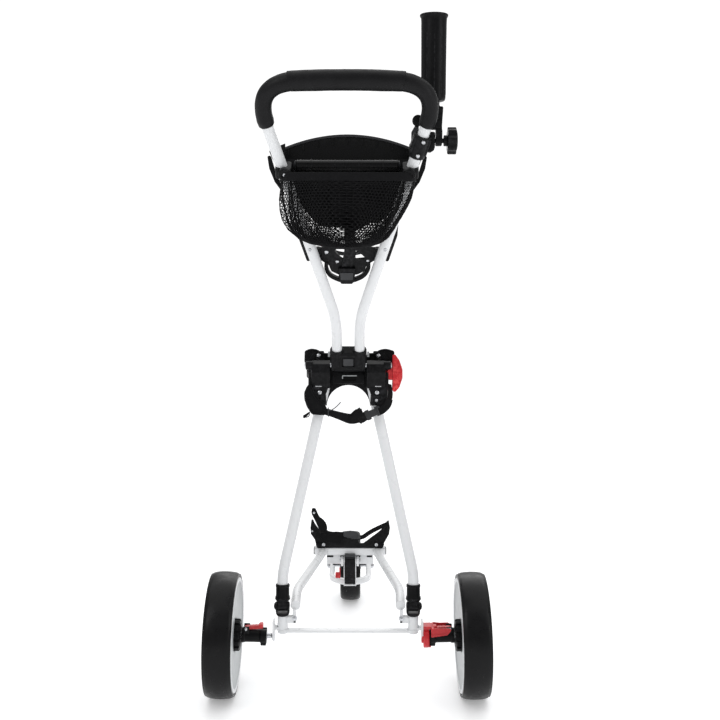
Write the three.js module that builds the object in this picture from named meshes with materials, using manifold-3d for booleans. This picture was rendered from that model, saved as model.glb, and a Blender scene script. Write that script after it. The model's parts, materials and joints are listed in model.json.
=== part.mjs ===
// Golf push trolley: three wheels, folding white tube frame, handle with foam grip, console,
// net bag, umbrella holder and two bag brackets. Millimetres, +Z up, +Y is the way it is pushed,
// +X is the golfer's right. The pieces are laid out from the ground below the rear axle, and the
// finished group is moved so that its origin is the middle of its footprint.
import * as THREE from "three";
import { mergeVertices } from "three/addons/utils/BufferGeometryUtils.js";
import Module from "manifold-3d";

// ---- driving dimensions ----
const GAP = 0.4; // clearance between pieces that touch
const MIDDLE_Y = 172.4; // half-way from the grip to the front tyre
const REAR_R = 120;
const REAR_WIDTH = 54;
const REAR_X = 240.5; // middle of the rear tread
const REAR_RIM_R = 109;
const CAMBER = 0.024; // the wheels' tops lean inwards by 1.4 degrees
const TILT_X = 150; // where the stub axles tilt
const HUB_Z = REAR_R - (REAR_X - TILT_X) * CAMBER; // axle height at the tilt
const AXLE_R = 6;
const HUB_R = 10.5; // bore of the rim, around the bearing
const HUB_X = 197; // outer end of the axle housing
const FRONT_R = 84;
const FRONT_WIDTH = 49;
const FRONT_Y = 560;
const BASE_TUBE_R = 9.4;
const UPRIGHT_R = 10.5;
const UPRIGHT_X = 126; // the uprights' feet
const UPRIGHT_LEAN = 0.111; // forward, from the vertical
const UPRIGHT_SPLAY = 0.2239; // inward run for each millimetre of rise
const FOOT_Z = 177; // axis of the frame's fold
const FOOT_BEND = 63; // above the fold axis
const UPRIGHT_LENGTH = 425;
const CROSSBAR = { y: 412, z: 165, width: 164, depth: 20, height: 17 };
const FORK_PIVOT = { y: 400, z: 143 }; // axis of the fork's fold
const HINGE_UP = 464; // the handle's fold axis, up the uprights from the frame's fold axis
const HINGE_BACK = 16; // and behind their plane
const HANDLE_LEAN = 0.576; // backward, from the vertical
const HANDLE_R = 9.6;
const LEG_X = 21.4;
const LEG_BEND = 110; // up the handle from its hinge
const HANDLE_SPLAY = 0.273;
const HANDLE_TOP = 584;
const GRIP_R = 15.5;
const GRIP_END = 502;
const CONSOLE_S = 421; // the console's clamps, up the handle
const CLAMP_S = 475; // the umbrella holder's clamp, up the handle
const UMBRELLA = { x: 141, armX: 151.5, y: -212, pivotZ: 1040, z: 1103, length: 138, r: 20, bore: 17.5 };

// ---- materials ----
function plain(color, roughness, metalness) {
  return new THREE.MeshStandardMaterial({ color, roughness, metalness });
}

const white = plain(0xf1f2f3, 0.35, 0.1);
const steel = plain(0xb9bcc0, 0.3, 0.9);
const black = plain(0x17181a, 0.5, 0.0);
const foam = plain(0x121214, 0.85, 0.0);
const webbing = plain(0x0d0d0f, 0.9, 0.0);
const rubber = plain(0x19191b, 0.7, 0.0);
const rimGrey = plain(0xb4b7ba, 0.4, 0.1);
const red = plain(0xc9202a, 0.4, 0.0);

// ---- solids ----
const wasm = await Module();
wasm.setup();

function bare(geometry) {
  const copy = geometry.clone();
  copy.deleteAttribute("normal");
  copy.deleteAttribute("uv");
  return mergeVertices(copy, 1e-4);
}

function solid(geometry) {
  const merged = bare(geometry);
  const vertProperties = new Float32Array(merged.attributes.position.array);
  const triVerts = new Uint32Array(merged.index.array);
  return new wasm.Manifold(new wasm.Mesh({ numProp: 3, vertProperties, triVerts }));
}

function geometryOf(made) {
  const result = made.getMesh();
  const geometry = new THREE.BufferGeometry();
  geometry.setAttribute("position", new THREE.BufferAttribute(new Float32Array(result.vertProperties), 3));
  geometry.setIndex(new THREE.BufferAttribute(new Uint32Array(result.triVerts), 1));
  return geometry;
}

function join(...geometries) {
  return geometryOf(geometries.map(solid).reduce((sum, next) => sum.add(next)));
}

function cut(geometry, ...tools) {
  return geometryOf(tools.map(solid).reduce((rest, tool) => rest.subtract(tool), solid(geometry)));
}

function box(width, depth, height, x = 0, y = 0, z = 0) {
  return new THREE.BoxGeometry(width, depth, height).translate(x, y, z);
}

// a round bar along X, Y or Z, centred on a point
function bar(radius, length, axis, x = 0, y = 0, z = 0, sides = 14) {
  const geometry = new THREE.CylinderGeometry(radius, radius, length, sides);
  if (axis === "x") geometry.rotateZ(-Math.PI / 2);
  if (axis === "z") geometry.rotateX(Math.PI / 2);
  return geometry.translate(x, y, z);
}

// a turned piece about X; the profile is [radius, x] pairs that start and end on the axis or close
function turned(profile, sides = 36) {
  const points = profile.map(([radius, along]) => new THREE.Vector2(radius, along));
  return new THREE.LatheGeometry(points, sides).rotateZ(-Math.PI / 2);
}

// a flat outline in the XY plane, extruded up from z = 0
function plateXY(shape, thickness) {
  return new THREE.ExtrudeGeometry(shape, { depth: thickness, bevelEnabled: false, curveSegments: 6 });
}

// a flat outline in the XZ plane, extruded along Y about y = 0
function plateXZ(shape, thickness) {
  const geometry = plateXY(shape, thickness);
  return geometry.translate(0, 0, -thickness / 2).rotateX(Math.PI / 2);
}

// a flat outline in the YZ plane, extruded along X about x = 0
function plateYZ(shape, thickness) {
  const geometry = plateXY(shape, thickness);
  return geometry.translate(0, 0, -thickness / 2).rotateZ(Math.PI / 2).rotateY(Math.PI / 2);
}

function outline(points) {
  return new THREE.Shape(points.map(([x, y]) => new THREE.Vector2(x, y)));
}

function capsule(width, height, radius) {
  const shape = new THREE.Shape();
  const [w, h, r] = [width / 2, height / 2, Math.min(radius, width / 2 - 0.01, height / 2 - 0.01)];
  shape.moveTo(-w + r, -h);
  shape.lineTo(w - r, -h);
  shape.absarc(w - r, -h + r, r, -Math.PI / 2, 0);
  shape.lineTo(w, h - r);
  shape.absarc(w - r, h - r, r, 0, Math.PI / 2);
  shape.lineTo(-w + r, h);
  shape.absarc(-w + r, h - r, r, Math.PI / 2, Math.PI);
  shape.lineTo(-w, -h + r);
  shape.absarc(-w + r, -h + r, r, Math.PI, Math.PI * 1.5);
  return shape;
}

// a path of straight runs with rounded corners; each corner is [x, y, z, cut back from the corner]
function route(corners) {
  const path = new THREE.CurvePath();
  const at = corners.map(([x, y, z]) => new THREE.Vector3(x, y, z));
  let last = at[0];
  for (let i = 1; i < at.length - 1; i += 1) {
    const back = corners[i][3];
    const start = at[i].clone().add(at[i - 1].clone().sub(at[i]).setLength(back));
    const end = at[i].clone().add(at[i + 1].clone().sub(at[i]).setLength(back));
    path.add(new THREE.LineCurve3(last, start));
    path.add(new THREE.QuadraticBezierCurve3(start, at[i], end));
    last = end;
  }
  path.add(new THREE.LineCurve3(last, at[at.length - 1]));
  return path;
}

function ring(radius, sides) {
  const points = [];
  for (let i = 0; i < sides; i += 1) {
    const turn = (i / sides) * Math.PI * 2;
    points.push(new THREE.Vector2(Math.cos(turn) * radius, Math.sin(turn) * radius));
  }
  return points;
}

function sweep(path, shape, steps) {
  return new THREE.ExtrudeGeometry(shape, { steps, bevelEnabled: false, extrudePath: path });
}

function tube(path, radius, steps, sides = 14) {
  return sweep(path, new THREE.Shape(ring(radius, sides)), steps);
}

// a closed skin through rings of equal point counts, with a fan at each end
function loft(rings) {
  const count = rings[0].length;
  const positions = rings.flat().flatMap((point) => [point.x, point.y, point.z]);
  const centres = [rings[0], rings[rings.length - 1]].map((points) =>
    points.reduce((sum, point) => sum.add(point), new THREE.Vector3()).divideScalar(count));
  centres.forEach((centre) => positions.push(centre.x, centre.y, centre.z));
  const first = rings.length * count;
  const index = [];
  for (let i = 0; i < count; i += 1) {
    const next = (i + 1) % count;
    index.push(first, next, i);
    for (let k = 0; k < rings.length - 1; k += 1) {
      const [a, b] = [k * count + i, k * count + next];
      index.push(a, b, b + count, a, b + count, a + count);
    }
    const end = (rings.length - 1) * count;
    index.push(first + 1, end + i, end + next);
  }
  const geometry = new THREE.BufferGeometry();
  geometry.setAttribute("position", new THREE.BufferAttribute(new Float32Array(positions), 3));
  geometry.setIndex(index);
  return geometry;
}

// a rounded rectangle as a ring of points at height z
function roundRing(cx, cy, z, halfX, halfY, radius, perCorner = 3) {
  const points = [];
  const corners = [[1, 1], [-1, 1], [-1, -1], [1, -1]];
  corners.forEach(([sx, sy], quarter) => {
    for (let k = 0; k <= perCorner; k += 1) {
      const turn = (quarter + k / perCorner) * (Math.PI / 2);
      const x = cx + sx * (halfX - radius) + Math.cos(turn) * radius;
      const y = cy + sy * (halfY - radius) + Math.sin(turn) * radius;
      points.push(new THREE.Vector3(x, y, z));
    }
  });
  return points;
}

const part = new THREE.Group();

function add(parent, name, geometry, material) {
  const mesh = new THREE.Mesh(geometry, material);
  mesh.name = name;
  parent.add(mesh);
  return mesh;
}

function group(parent, x, y, z, rx = 0, ry = 0, rz = 0) {
  const made = new THREE.Group();
  made.position.set(x, y, z);
  made.rotation.set(rx, ry, rz);
  parent.add(made);
  return made;
}

const SIDES = [["left", -1], ["right", 1]];

// ---- base frame ----
function baseFrame() {
  const reach = CROSSBAR.y - CROSSBAR.depth / 2 - 2;
  const posts = [box(2 * UPRIGHT_X, 14, 5, 0, 0, 128)];
  const bores = [];
  for (const [name, side] of SIDES) {
    const path = route([
      [side * 101.2, 0, FOOT_Z + 1, 0],
      [side * 104, 95, FOOT_Z, 30],
      [side * 64, reach - 14, CROSSBAR.z, 6],
      [side * 62.5, reach - 1.5, CROSSBAR.z, 0],
    ]);
    const post = bar(10, 34, "z", side * UPRIGHT_X, 0, 141.5);
    const tab = box(4, 26, 40, side * 143, 0, 129);
    const web = box(20, 16, 4, side * 134, 0, 134);
    const gusset = box(18, 14, 12, side * 109, 0, 151);
    const riser = box(6, 14, 28, side * 103, 0, 159);
    posts.push(post, tab, web, gusset, riser);
    bores.push(bar(AXLE_R + GAP, 30, "x", side * 143, 0, HUB_Z));
    const clearRiser = box(6 + 2 * GAP, 14 + 2 * GAP, 28 + 2 * GAP, side * 103, 0, 159);
    add(part, "base_tube_" + name, cut(tube(path, BASE_TUBE_R, 7, 12), clearRiser), white);
  }
  const beam = box(CROSSBAR.width, CROSSBAR.depth, CROSSBAR.height, 0, CROSSBAR.y, CROSSBAR.z);
  add(part, "crossbar", beam, white);
  add(part, "axle_frame", cut(join(...posts), ...bores), white);
}

// the clevis in which an upright's foot turns
function footClevis(name, side) {
  const cheek = outline([[-13, -17], [13, -17], [13, 2], [7, 10.5], [-7, 10.5], [-13, 2]]);
  const base = box(26, 26, 4, side * UPRIGHT_X, 0, FOOT_Z - 15);
  const cheeks = [-11.4, 11.4].map((x) => plateYZ(cheek, 3.2).translate(side * UPRIGHT_X + x, 0, FOOT_Z));
  const bore = bar(4 + GAP, 60, "x", side * UPRIGHT_X, 0, FOOT_Z, 12);
  add(part, "foot_clevis_" + name, cut(join(base, ...cheeks), bore), black);
  const shank = bar(4, 31, "x", side * (UPRIGHT_X + 2), 0, FOOT_Z, 12);
  const head = bar(8, 4, "x", side * (UPRIGHT_X + 16), 0, FOOT_Z, 12);
  add(part, "foot_pin_" + name, join(shank, head), black);
}

// ---- rear wheels and their quick-release axles ----
function rearWheel(name, side) {
  const tilted = group(part, side * TILT_X, 0, HUB_Z, 0, -side * CAMBER, 0);
  const mirrored = group(tilted, 0, 0, 0, 0, 0, side < 0 ? Math.PI : 0);
  const hub = group(mirrored, -TILT_X, 0, 0);
  const half = REAR_WIDTH / 2;
  const tread = [
    [REAR_RIM_R + 0.5, -half + 2], [REAR_RIM_R + 4, -half], [REAR_R - 3, -half + 3],
    [REAR_R - 0.8, -half + 12], [REAR_R, 0], [REAR_R - 0.8, half - 12], [REAR_R - 3, half - 3],
    [REAR_RIM_R + 4, half], [REAR_RIM_R + 0.5, half - 2], [REAR_RIM_R + 0.5, -half + 2],
  ];
  add(hub, "rear_tyre_" + name, turned(tread, 26).translate(REAR_X, 0, 0), rubber);
  const rim = [
    [HUB_R, -8], [30, -8], [40, -17], [84, -19], [REAR_RIM_R - 6, -half + 4], [REAR_RIM_R, -half],
    [REAR_RIM_R, half], [REAR_RIM_R - 6, half - 4], [84, 17], [40, 12], [30, 16], [HUB_R, 16], [HUB_R, -8],
  ];
  add(hub, "rear_rim_" + name, turned(rim, 26).translate(REAR_X, 0, 0), rimGrey);
  const disc = turned([
    [HUB_R, -29], [29, -29], [30, -27], [30, -20.5], [28, -18.6], [12, -18.6], [12, -9], [HUB_R, -9],
    [HUB_R, -29],
  ], 20);
  const slots = [];
  for (let k = 0; k < 6; k += 1) {
    const turn = (k / 6) * Math.PI * 2;
    slots.push(box(14, 5, 5, -24, 0, 29.5).rotateX(turn));
  }
  add(hub, "hub_disc_" + name, cut(disc, ...slots).translate(REAR_X, 0, 0), black);
  const shaftR = AXLE_R - GAP;
  const tipR = AXLE_R - 1;
  const axle = turned([[0, 141], [tipR, 141], [tipR, 142], [shaftR, 143], [shaftR, 249], [0, 249]], 18);
  const groove = turned([
    [AXLE_R - 2, 146], [AXLE_R + 1, 146], [AXLE_R + 1, 148], [AXLE_R - 2, 148], [AXLE_R - 2, 146],
  ], 18);
  add(hub, "axle_" + name, cut(axle, groove), steel);
  const raceR = HUB_R - GAP;
  const race = turned([[AXLE_R, -8], [raceR, -8], [raceR, 16], [AXLE_R, 16], [AXLE_R, -8]], 20);
  add(hub, "bearing_" + name, race.translate(REAR_X, 0, 0), steel);
  const shell = [
    [AXLE_R + 0.2, 157], [16, 157], [16.5, 158], [16.5, 166], [13.5, 167], [13.5, 194], [15, HUB_X],
    [15, 205], [AXLE_R + 0.2, 205], [AXLE_R + 0.2, 157],
  ];
  const window = box(46, 15.2, 12, 179, 0, 17.4);
  const ears = [-9.6, 9.6].map((y) => box(12, 3.6, 14, 196, y, 12));
  add(hub, "axle_housing_" + name, cut(join(turned(shell, 16), ...ears), window), black);
  return hub;
}

function releaseLevers(hubs) {
  for (const [name, side] of SIDES) {
    const lever = group(hubs[name], HUB_X, 0, 15.4, 0, side < 0 ? 0.13 : 0, 0);
    const arm = outline([[-33, -3.4], [-2, -3.4], [2.6, -1], [2.6, 2.4], [-2, 4], [-14, 4.6], [-33, 2.2]]);
    const grip = outline([[-33, 0], [-27, 0], [-24, 4.6], [-29, 7.6], [-33, 7.6]]);
    const body = join(plateXZ(arm, 10), plateXZ(grip, 14));
    add(lever, "release_lever_" + name, body, red);
  }
  const boreR = AXLE_R + GAP;
  const hook = turned([
    [boreR, 145.6], [19, 145.6], [22, 147], [22, 154], [20, 156.4], [boreR, 156.4], [boreR, 145.6],
  ], 24);
  const notch = box(30, 60, 60, 150, 0, 47);
  add(hubs.right, "lock_collar_right", cut(hook, notch), red);
}

// ---- front wheel and its folding fork ----
function frontFork() {
  const { y, z } = FORK_PIVOT;
  const lugs = [-18, 18].map((x) => box(5, 30, 18, x, y + 6, z));
  const bore = bar(4 + GAP, 60, "x", 0, y, z, 12);
  const body = join(box(108, 10, 20, 0, y + 19, z + 2.5), ...lugs);
  add(part, "fork_bracket", cut(body, bore), white);
  add(part, "fork_pin", join(bar(4, 43, "x", 0, y, z, 12), bar(6.5, 3, "x", -22.5, y, z, 12)), steel);

  const profile = outline([
    [-8, 8], [-4, 11], [4, 11], [8, 8], [12, -6], [25.4, -45], [25.4, -63], [10, -63], [8, -50], [-9, -6],
  ]);
  const channel = outline([[-14, 14], [2, 14], [6, -6], [18, -44], [18, -53], [4, -53], [-12, -6]]);
  const turning = bar(4 + GAP, 60, "x", 0, 0, 0, 12);
  const arm = cut(plateYZ(profile, 29), plateYZ(channel, 23), turning);
  add(part, "fork_arm", arm.translate(0, y, z), white);
  const strip = outline([[-8.4, 6], [-6, 10], [1, 11], [5, -6], [16, -42], [16, -50], [6, -56], [-8.2, -6]]);
  const cover = cut(plateYZ(strip, 22), bar(5, 60, "x", 0, 0, 0, 12), box(23, 40, 12, 0, 5, -57));
  add(part, "arm_cover", cover.translate(0, y, z), black);

  const [outer, inner, bend, tip] = [50, 38, FRONT_Y - FRONT_R, FRONT_Y + 12];
  const loop = new THREE.Shape();
  loop.moveTo(outer, tip);
  loop.lineTo(inner, tip);
  loop.lineTo(inner, bend);
  loop.absarc(0, bend, inner, 0, Math.PI, true);
  loop.lineTo(-inner, tip);
  loop.lineTo(-outer, tip);
  loop.lineTo(-outer, bend);
  loop.absarc(0, bend, outer, Math.PI, Math.PI * 2, false);
  const holes = bar(4 + GAP, 120, "x", 0, FRONT_Y, FRONT_R, 12);
  add(part, "fork_loop", cut(plateXY(loop, 14).translate(0, 0, FRONT_R - 7), holes), white);

  const catchAt = group(part, -24, y + 6, z - 18);
  const finger = outline([[-4, 10], [4, 10], [3, -14], [2, -26], [-4, -26], [-5, -14]]);
  add(catchAt, "fork_catch", join(plateYZ(finger, 3.6), box(12.4, 9, 13, -2.2, 0.5, -21)), red);
}

function frontWheel() {
  const half = FRONT_WIDTH / 2;
  const rimR = FRONT_R - 14;
  const wheel = group(part, 0, FRONT_Y, FRONT_R);
  const tread = [
    [rimR + 0.5, -half + 2], [rimR + 4, -half], [FRONT_R - 4, -half + 3], [FRONT_R - 1, -half + 11],
    [FRONT_R, 0], [FRONT_R - 1, half - 11], [FRONT_R - 4, half - 3], [rimR + 4, half], [rimR + 0.5, half - 2],
    [rimR + 0.5, -half + 2],
  ];
  add(wheel, "front_tyre", turned(tread, 26), rubber);
  const rim = [
    [9.5, -half + 1], [16, -half + 1], [18, -10], [58, -10], [rimR - 5, -half + 4], [rimR, -half],
    [rimR, half], [rimR - 5, half - 4], [58, 10], [18, 10], [16, half - 1], [9.5, half - 1], [9.5, -half + 1],
  ];
  add(wheel, "front_rim", turned(rim, 26), rimGrey);
  const end = half + 2;
  const bush = turned([[4.5, -end], [9.1, -end], [9.1, end], [4.5, end], [4.5, -end]], 20);
  add(wheel, "front_bush", bush, steel);
  const axle = group(part, 0, FRONT_Y, FRONT_R);
  const heads = [-53.2, 53.2].map((x) => bar(7.5, 5.6, "x", x, 0, 0, 6));
  add(axle, "front_axle", join(bar(4, 112, "x", 0, 0, 0, 12), ...heads), steel);
}

// ---- the lower bag rest, on the crossbar ----
function lowerBagRest() {
  const top = CROSSBAR.z + CROSSBAR.height / 2 + GAP;
  const rest = group(part, 0, CROSSBAR.y - 2, top);
  const shape = new THREE.Shape();
  shape.moveTo(-69, 0.2);
  shape.lineTo(69, 0.2);
  shape.lineTo(76, 16);
  shape.lineTo(88, 38);
  shape.lineTo(87, 62);
  shape.lineTo(82, 62);
  shape.quadraticCurveTo(66, 30, 22, 14);
  shape.lineTo(-22, 14);
  shape.quadraticCurveTo(-66, 30, -82, 62);
  shape.lineTo(-87, 62);
  shape.lineTo(-88, 38);
  shape.lineTo(-76, 16);
  const plate = plateXZ(shape, 6).translate(0, -7, 0);
  const shelf = outline([[-66, -8], [66, -8], [60, 16], [30, 30], [-30, 30], [-60, 16]]);
  const tray = plateXY(shelf, 4).translate(0, 0, 0.4);
  const wings = SIDES.map(([, side]) => {
    const wing = outline([[-9, 10], [6, 2], [30, 12], [32, 40], [20, 52], [-9, 58]]);
    return plateYZ(wing, 5).rotateY(side * 0.32).translate(side * 64, 0, 6);
  });
  add(rest, "lower_bag_rest", join(plate, tray, ...wings), black);
  const pad = outline([[-84, 22], [-60, 14], [-52, 40], [-62, 66], [-78, 100], [-88, 98], [-90, 84]]);
  add(rest, "lower_pad", plateXZ(pad, 7).translate(1, -18.5, 0), webbing);
}

// ---- uprights, their feet and the middle bracket: they fold forward together ----
function mast() {
  const lean = group(part, 0, 0, FOOT_Z, -UPRIGHT_LEAN, 0, 0);
  for (const [name, side] of SIDES) {
    const topX = UPRIGHT_X - UPRIGHT_SPLAY * (UPRIGHT_LENGTH - FOOT_BEND);
    const path = route([
      [side * UPRIGHT_X, 0, 14, 0],
      [side * UPRIGHT_X, 0, FOOT_BEND, 16],
      [side * topX, 0, UPRIGHT_LENGTH, 0],
    ]);
    const upright = cut(tube(path, UPRIGHT_R, 15, 12), bar(4 + GAP, 60, "x", side * UPRIGHT_X, 0, 0, 12));
    add(lean, "upright_" + name, upright, white);
    const foot = join(
      bar(9.4, 19, "x", side * UPRIGHT_X, 0, 0, 20),
      box(19, 18, 16, side * UPRIGHT_X, 0, 8),
      bar(13.4, 28, "z", side * UPRIGHT_X, 0, 28, 20),
    );
    const socket = bar(UPRIGHT_R + GAP, 60, "z", side * UPRIGHT_X, 0, 43, 20);
    add(lean, "foot_" + name, cut(foot, socket, bar(4 + GAP, 60, "x", side * UPRIGHT_X, 0, 0, 12)), black);
  }
  middleBracket(lean);
}

// the middle bracket joins the uprights' tops; the handle's socket block turns in its notch
function middleBracket(lean) {
  const shape = new THREE.Shape();
  shape.moveTo(-42, 386);
  shape.lineTo(-74, 386);
  shape.lineTo(-77, 430);
  shape.lineTo(-77, 476);
  shape.lineTo(77, 476);
  shape.lineTo(77, 430);
  shape.lineTo(74, 386);
  shape.lineTo(42, 386);
  shape.absarc(0, 384, 42, 0, Math.PI, false);
  const plate = plateXZ(shape, 17.5).translate(0, 6.25, 0);
  const legs = SIDES.map(([, side]) => {
    const leg = outline([[-16, 386], [16, 386], [21, 424], [21, 450], [-21, 450], [-21, 400]]);
    return plateXZ(leg, 30).translate(side * 56, 0, 0);
  });
  const cheek = outline([[-15, 440], [0, 440], [0, 476], [-20, 476], [-29, 470], [-29, 455]]);
  const cheeks = SIDES.map(([, side]) => plateYZ(cheek, 42).translate(side * 56, 0, 0));
  const block = join(plate, ...legs, ...cheeks);
  const topX = UPRIGHT_X - UPRIGHT_SPLAY * (UPRIGHT_LENGTH - FOOT_BEND);
  const sockets = SIDES.map(([, side]) => {
    const low = new THREE.Vector3(side * (topX + UPRIGHT_SPLAY * 60), 0, UPRIGHT_LENGTH - 60);
    const high = new THREE.Vector3(side * (topX - UPRIGHT_SPLAY * 0.5), 0, UPRIGHT_LENGTH + 0.5);
    return tube(new THREE.LineCurve3(low, high), UPRIGHT_R + GAP, 1, 16);
  });
  const pinBore = bar(4 + GAP, 170, "x", 0, -HINGE_BACK, HINGE_UP, 12);
  const boltBore = bar(7 + GAP, 66, "x", 61, 0, 447, 14);
  const slot = box(18, 8, 8, 0, -3, 432);
  add(lean, "middle_bracket", cut(block, ...sockets, pinBore, boltBore, slot), black);
  const ends = [-79.5, 79.5].map((x) => bar(7, 3, "x", x, -HINGE_BACK, HINGE_UP, 12));
  add(lean, "hinge_pin", join(bar(4, 157, "x", 0, -HINGE_BACK, HINGE_UP, 12), ...ends), steel);

  const cradle = new THREE.Shape();
  cradle.moveTo(-88, 64);
  cradle.quadraticCurveTo(-84, 26, -54, 16);
  cradle.lineTo(54, 16);
  cradle.quadraticCurveTo(84, 26, 88, 64);
  cradle.lineTo(82, 64);
  cradle.quadraticCurveTo(76, 34, 50, 24);
  cradle.lineTo(-50, 24);
  cradle.quadraticCurveTo(-76, 34, -82, 64);
  const rest = plateXY(cradle, 68).translate(0, 0, 426);
  const scoop = plateXZ(outline([[-60, 520], [-48, 484], [48, 484], [60, 520]]), 200);
  const earCorners = [
    [35, 466], [60, 428], [74, 428], [81, 440], [88, 466], [91, 488], [86, 495], [68, 495], [35, 486],
  ];
  const ears = SIDES.map(([, side]) => {
    const corners = earCorners.map(([x, z]) => [side * x, z]);
    return plateXZ(outline(side > 0 ? corners : corners.reverse()), 5).translate(0, 18.5, 0);
  });
  add(lean, "middle_bag_rest", join(cut(rest, scoop), ...ears), black);

  const strapPath = new THREE.CatmullRomCurve3([
    new THREE.Vector3(-62, -28.5, 392), new THREE.Vector3(-32, -28.5, 366), new THREE.Vector3(-8, -27, 352),
    new THREE.Vector3(14, -26, 351), new THREE.Vector3(26, -26, 357),
  ]);
  const band = outline([[-2, -13], [2, -13], [2, 13], [-2, 13]]);
  add(lean, "bag_strap", sweep(strapPath, band, 14), webbing);
  const buckle = plateXZ(capsule(34, 26, 6), 10).rotateY(-0.42).translate(50, -23, 371);
  add(lean, "strap_buckle", buckle, black);
  const pad = outline([[-46, 422], [-76, 424], [-85, 403], [-83, 378], [-70, 364], [-40, 362], [-34, 378]]);
  add(lean, "strap_pad", plateXZ(pad, 9).translate(0, -20.4, 0), webbing);
}

// ---- the sprung red latch, pulled outward to free the handle ----
function latch() {
  const lean = group(part, 0, 0, FOOT_Z, -UPRIGHT_LEAN, 0, 0);
  const shape = new THREE.Shape();
  shape.moveTo(84, 414);
  shape.lineTo(91, 414);
  shape.quadraticCurveTo(104, 430, 104, 448);
  shape.quadraticCurveTo(104, 468, 90, 485);
  shape.lineTo(84, 483);
  const handle = plateXZ(shape, 22);
  const stem = bar(7, 52, "x", 59.5, 0, 447, 14);
  add(lean, "latch_handle", join(handle, stem, box(8, 18, 22, 81.6, 0, 447)), red);
}

// ---- handle: local z runs up the handle, local y points forward and up ----
const across = new THREE.Vector3(1, 0, 0);
const hingeAt = new THREE.Vector3(0, -HINGE_BACK, HINGE_UP).applyAxisAngle(across, -UPRIGHT_LEAN);
hingeAt.z += FOOT_Z;

const sideX = (along) => LEG_X + HANDLE_SPLAY * Math.max(0, along - LEG_BEND);

function handlePath(side) {
  const corner = HANDLE_TOP - 8;
  return route([
    [side * LEG_X, 0, 14],
    [side * LEG_X, 0, LEG_BEND, 26],
    [side * sideX(corner), 0, corner, 72],
    [side * 1.4, 0, HANDLE_TOP],
  ]);
}

function handleFrame() {
  const handle = group(part, hingeAt.x, hingeAt.y, hingeAt.z, HANDLE_LEAN, 0, 0);
  const grips = SIDES.map(([, side]) => {
    const corner = HANDLE_TOP - 8;
    return [side * sideX(GRIP_END), 0, GRIP_END, side * sideX(corner), 0, corner];
  });
  for (const [name, side] of SIDES) {
    add(handle, "handle_tube_" + name, tube(handlePath(side), HANDLE_R, 26, 10), white);
  }
  const [left, right] = grips;
  const gripPath = route([
    [left[0], 0, left[2]], [left[3], 0, left[5], 72], [0, 0, HANDLE_TOP + 4, 40],
    [right[3], 0, right[5], 72], [right[0], 0, right[2]],
  ]);
  const foamSleeve = tube(gripPath, GRIP_R, 26, 12);
  const bores = SIDES.map(([, side]) => tube(handlePath(side), HANDLE_R + GAP, 26, 10));
  const middle = bar(HANDLE_R + GAP, 12, "x", 0, 0, HANDLE_TOP, 10);
  add(handle, "grip_foam", cut(foamSleeve, ...bores, middle), foam);

  const notch = outline([[-12, 0], [-12, 36], [12, 40], [12, 0], [8.5, -8.5], [0, -12], [-8.5, -8.5]]);
  const block = plateYZ(notch, 65);
  const sockets = SIDES.map(([, side]) => bar(HANDLE_R + GAP, 80, "z", side * LEG_X, 0, 53.6, 16));
  const window = box(11, 6, 11, 0, -12, 20);
  const socketBlock = cut(block, ...sockets, bar(4 + GAP, 80, "x", 0, 0, 0, 12), window);
  add(handle, "socket_block", socketBlock, black);
  return handle;
}

// ---- console with its clamps, and the net bag that hangs below it ----
function consoleTray(handle) {
  const clampX = sideX(CONSOLE_S);
  for (const [name, side] of SIDES) {
    const body = join(
      box(30, 30, 20, side * (clampX - 1), 0, CONSOLE_S),
      bar(11, 8, "y", side * (clampX - 4), -18, CONSOLE_S + 3, 16),
    );
    const bore = tube(handlePath(side), HANDLE_R + GAP, 26, 10);
    add(handle, "console_clamp_" + name, cut(body, bore), black);
  }
  const upright = group(handle, 0, 0, CONSOLE_S, -HANDLE_LEAN, 0, 0);
  const front = new THREE.Shape();
  front.moveTo(-106, -8);
  front.lineTo(106, -8);
  front.lineTo(118, 4);
  front.lineTo(132, 34);
  front.quadraticCurveTo(0, 98, -132, 34);
  front.lineTo(-118, 4);
  const shell = plateXZ(front, 86).translate(0, 64, 0);
  const inside = outline([
    [-103, -4], [103, -4], [114, 6], [140, 62], [140, 120], [-140, 120], [-140, 62], [-114, 6],
  ]);
  const hollow = plateXZ(inside, 80).translate(0, 64, 0);
  const nearCut = plateYZ(outline([[10, 20], [24, 20], [100, 60], [100, 150], [10, 150]]), 208);
  const tray = cut(shell, hollow, nearCut);
  const roll = bar(10, 2 * 86, "x", 0, 14, 8, 18);
  add(upright, "console_tray", join(tray, roll), black);
  return upright;
}

function netBag(handle) {
  const upright = group(handle, 0, 0, CONSOLE_S, -HANDLE_LEAN, 0, 0);
  const levels = [
    [-20, 112, 44, 6], [-40, 113, 46, 8], [-66, 107, 46, 18], [-88, 94, 42, 30], [-108, 70, 32, 44],
    [-126, 50, 18, 54],
  ];
  const skin = 2.6; // the sewn cloth and its folds
  const outer = levels.map(([z, halfX, halfY, y]) => roundRing(0, y, z, halfX, halfY, halfY * 0.7));
  const inner = levels.slice(0, -1).map(([z, halfX, halfY, y]) =>
    roundRing(0, y, z, halfX - skin, halfY - skin, halfY * 0.7 - skin * 0.5));
  const [z, halfX, halfY, y] = levels[levels.length - 1];
  inner.push(roundRing(0, y, z + skin, halfX - skin, halfY - skin, halfY * 0.7 - skin * 0.5));
  const bag = loft([...outer.reverse(), ...inner]);
  const tubes = SIDES.map(([, side]) =>
    tube(handlePath(side), HANDLE_R + 1, 26, 10).translate(0, 0, -CONSOLE_S).rotateX(HANDLE_LEAN));
  add(upright, "net_bag", cut(bag, ...tubes), webbing);
}

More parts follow.
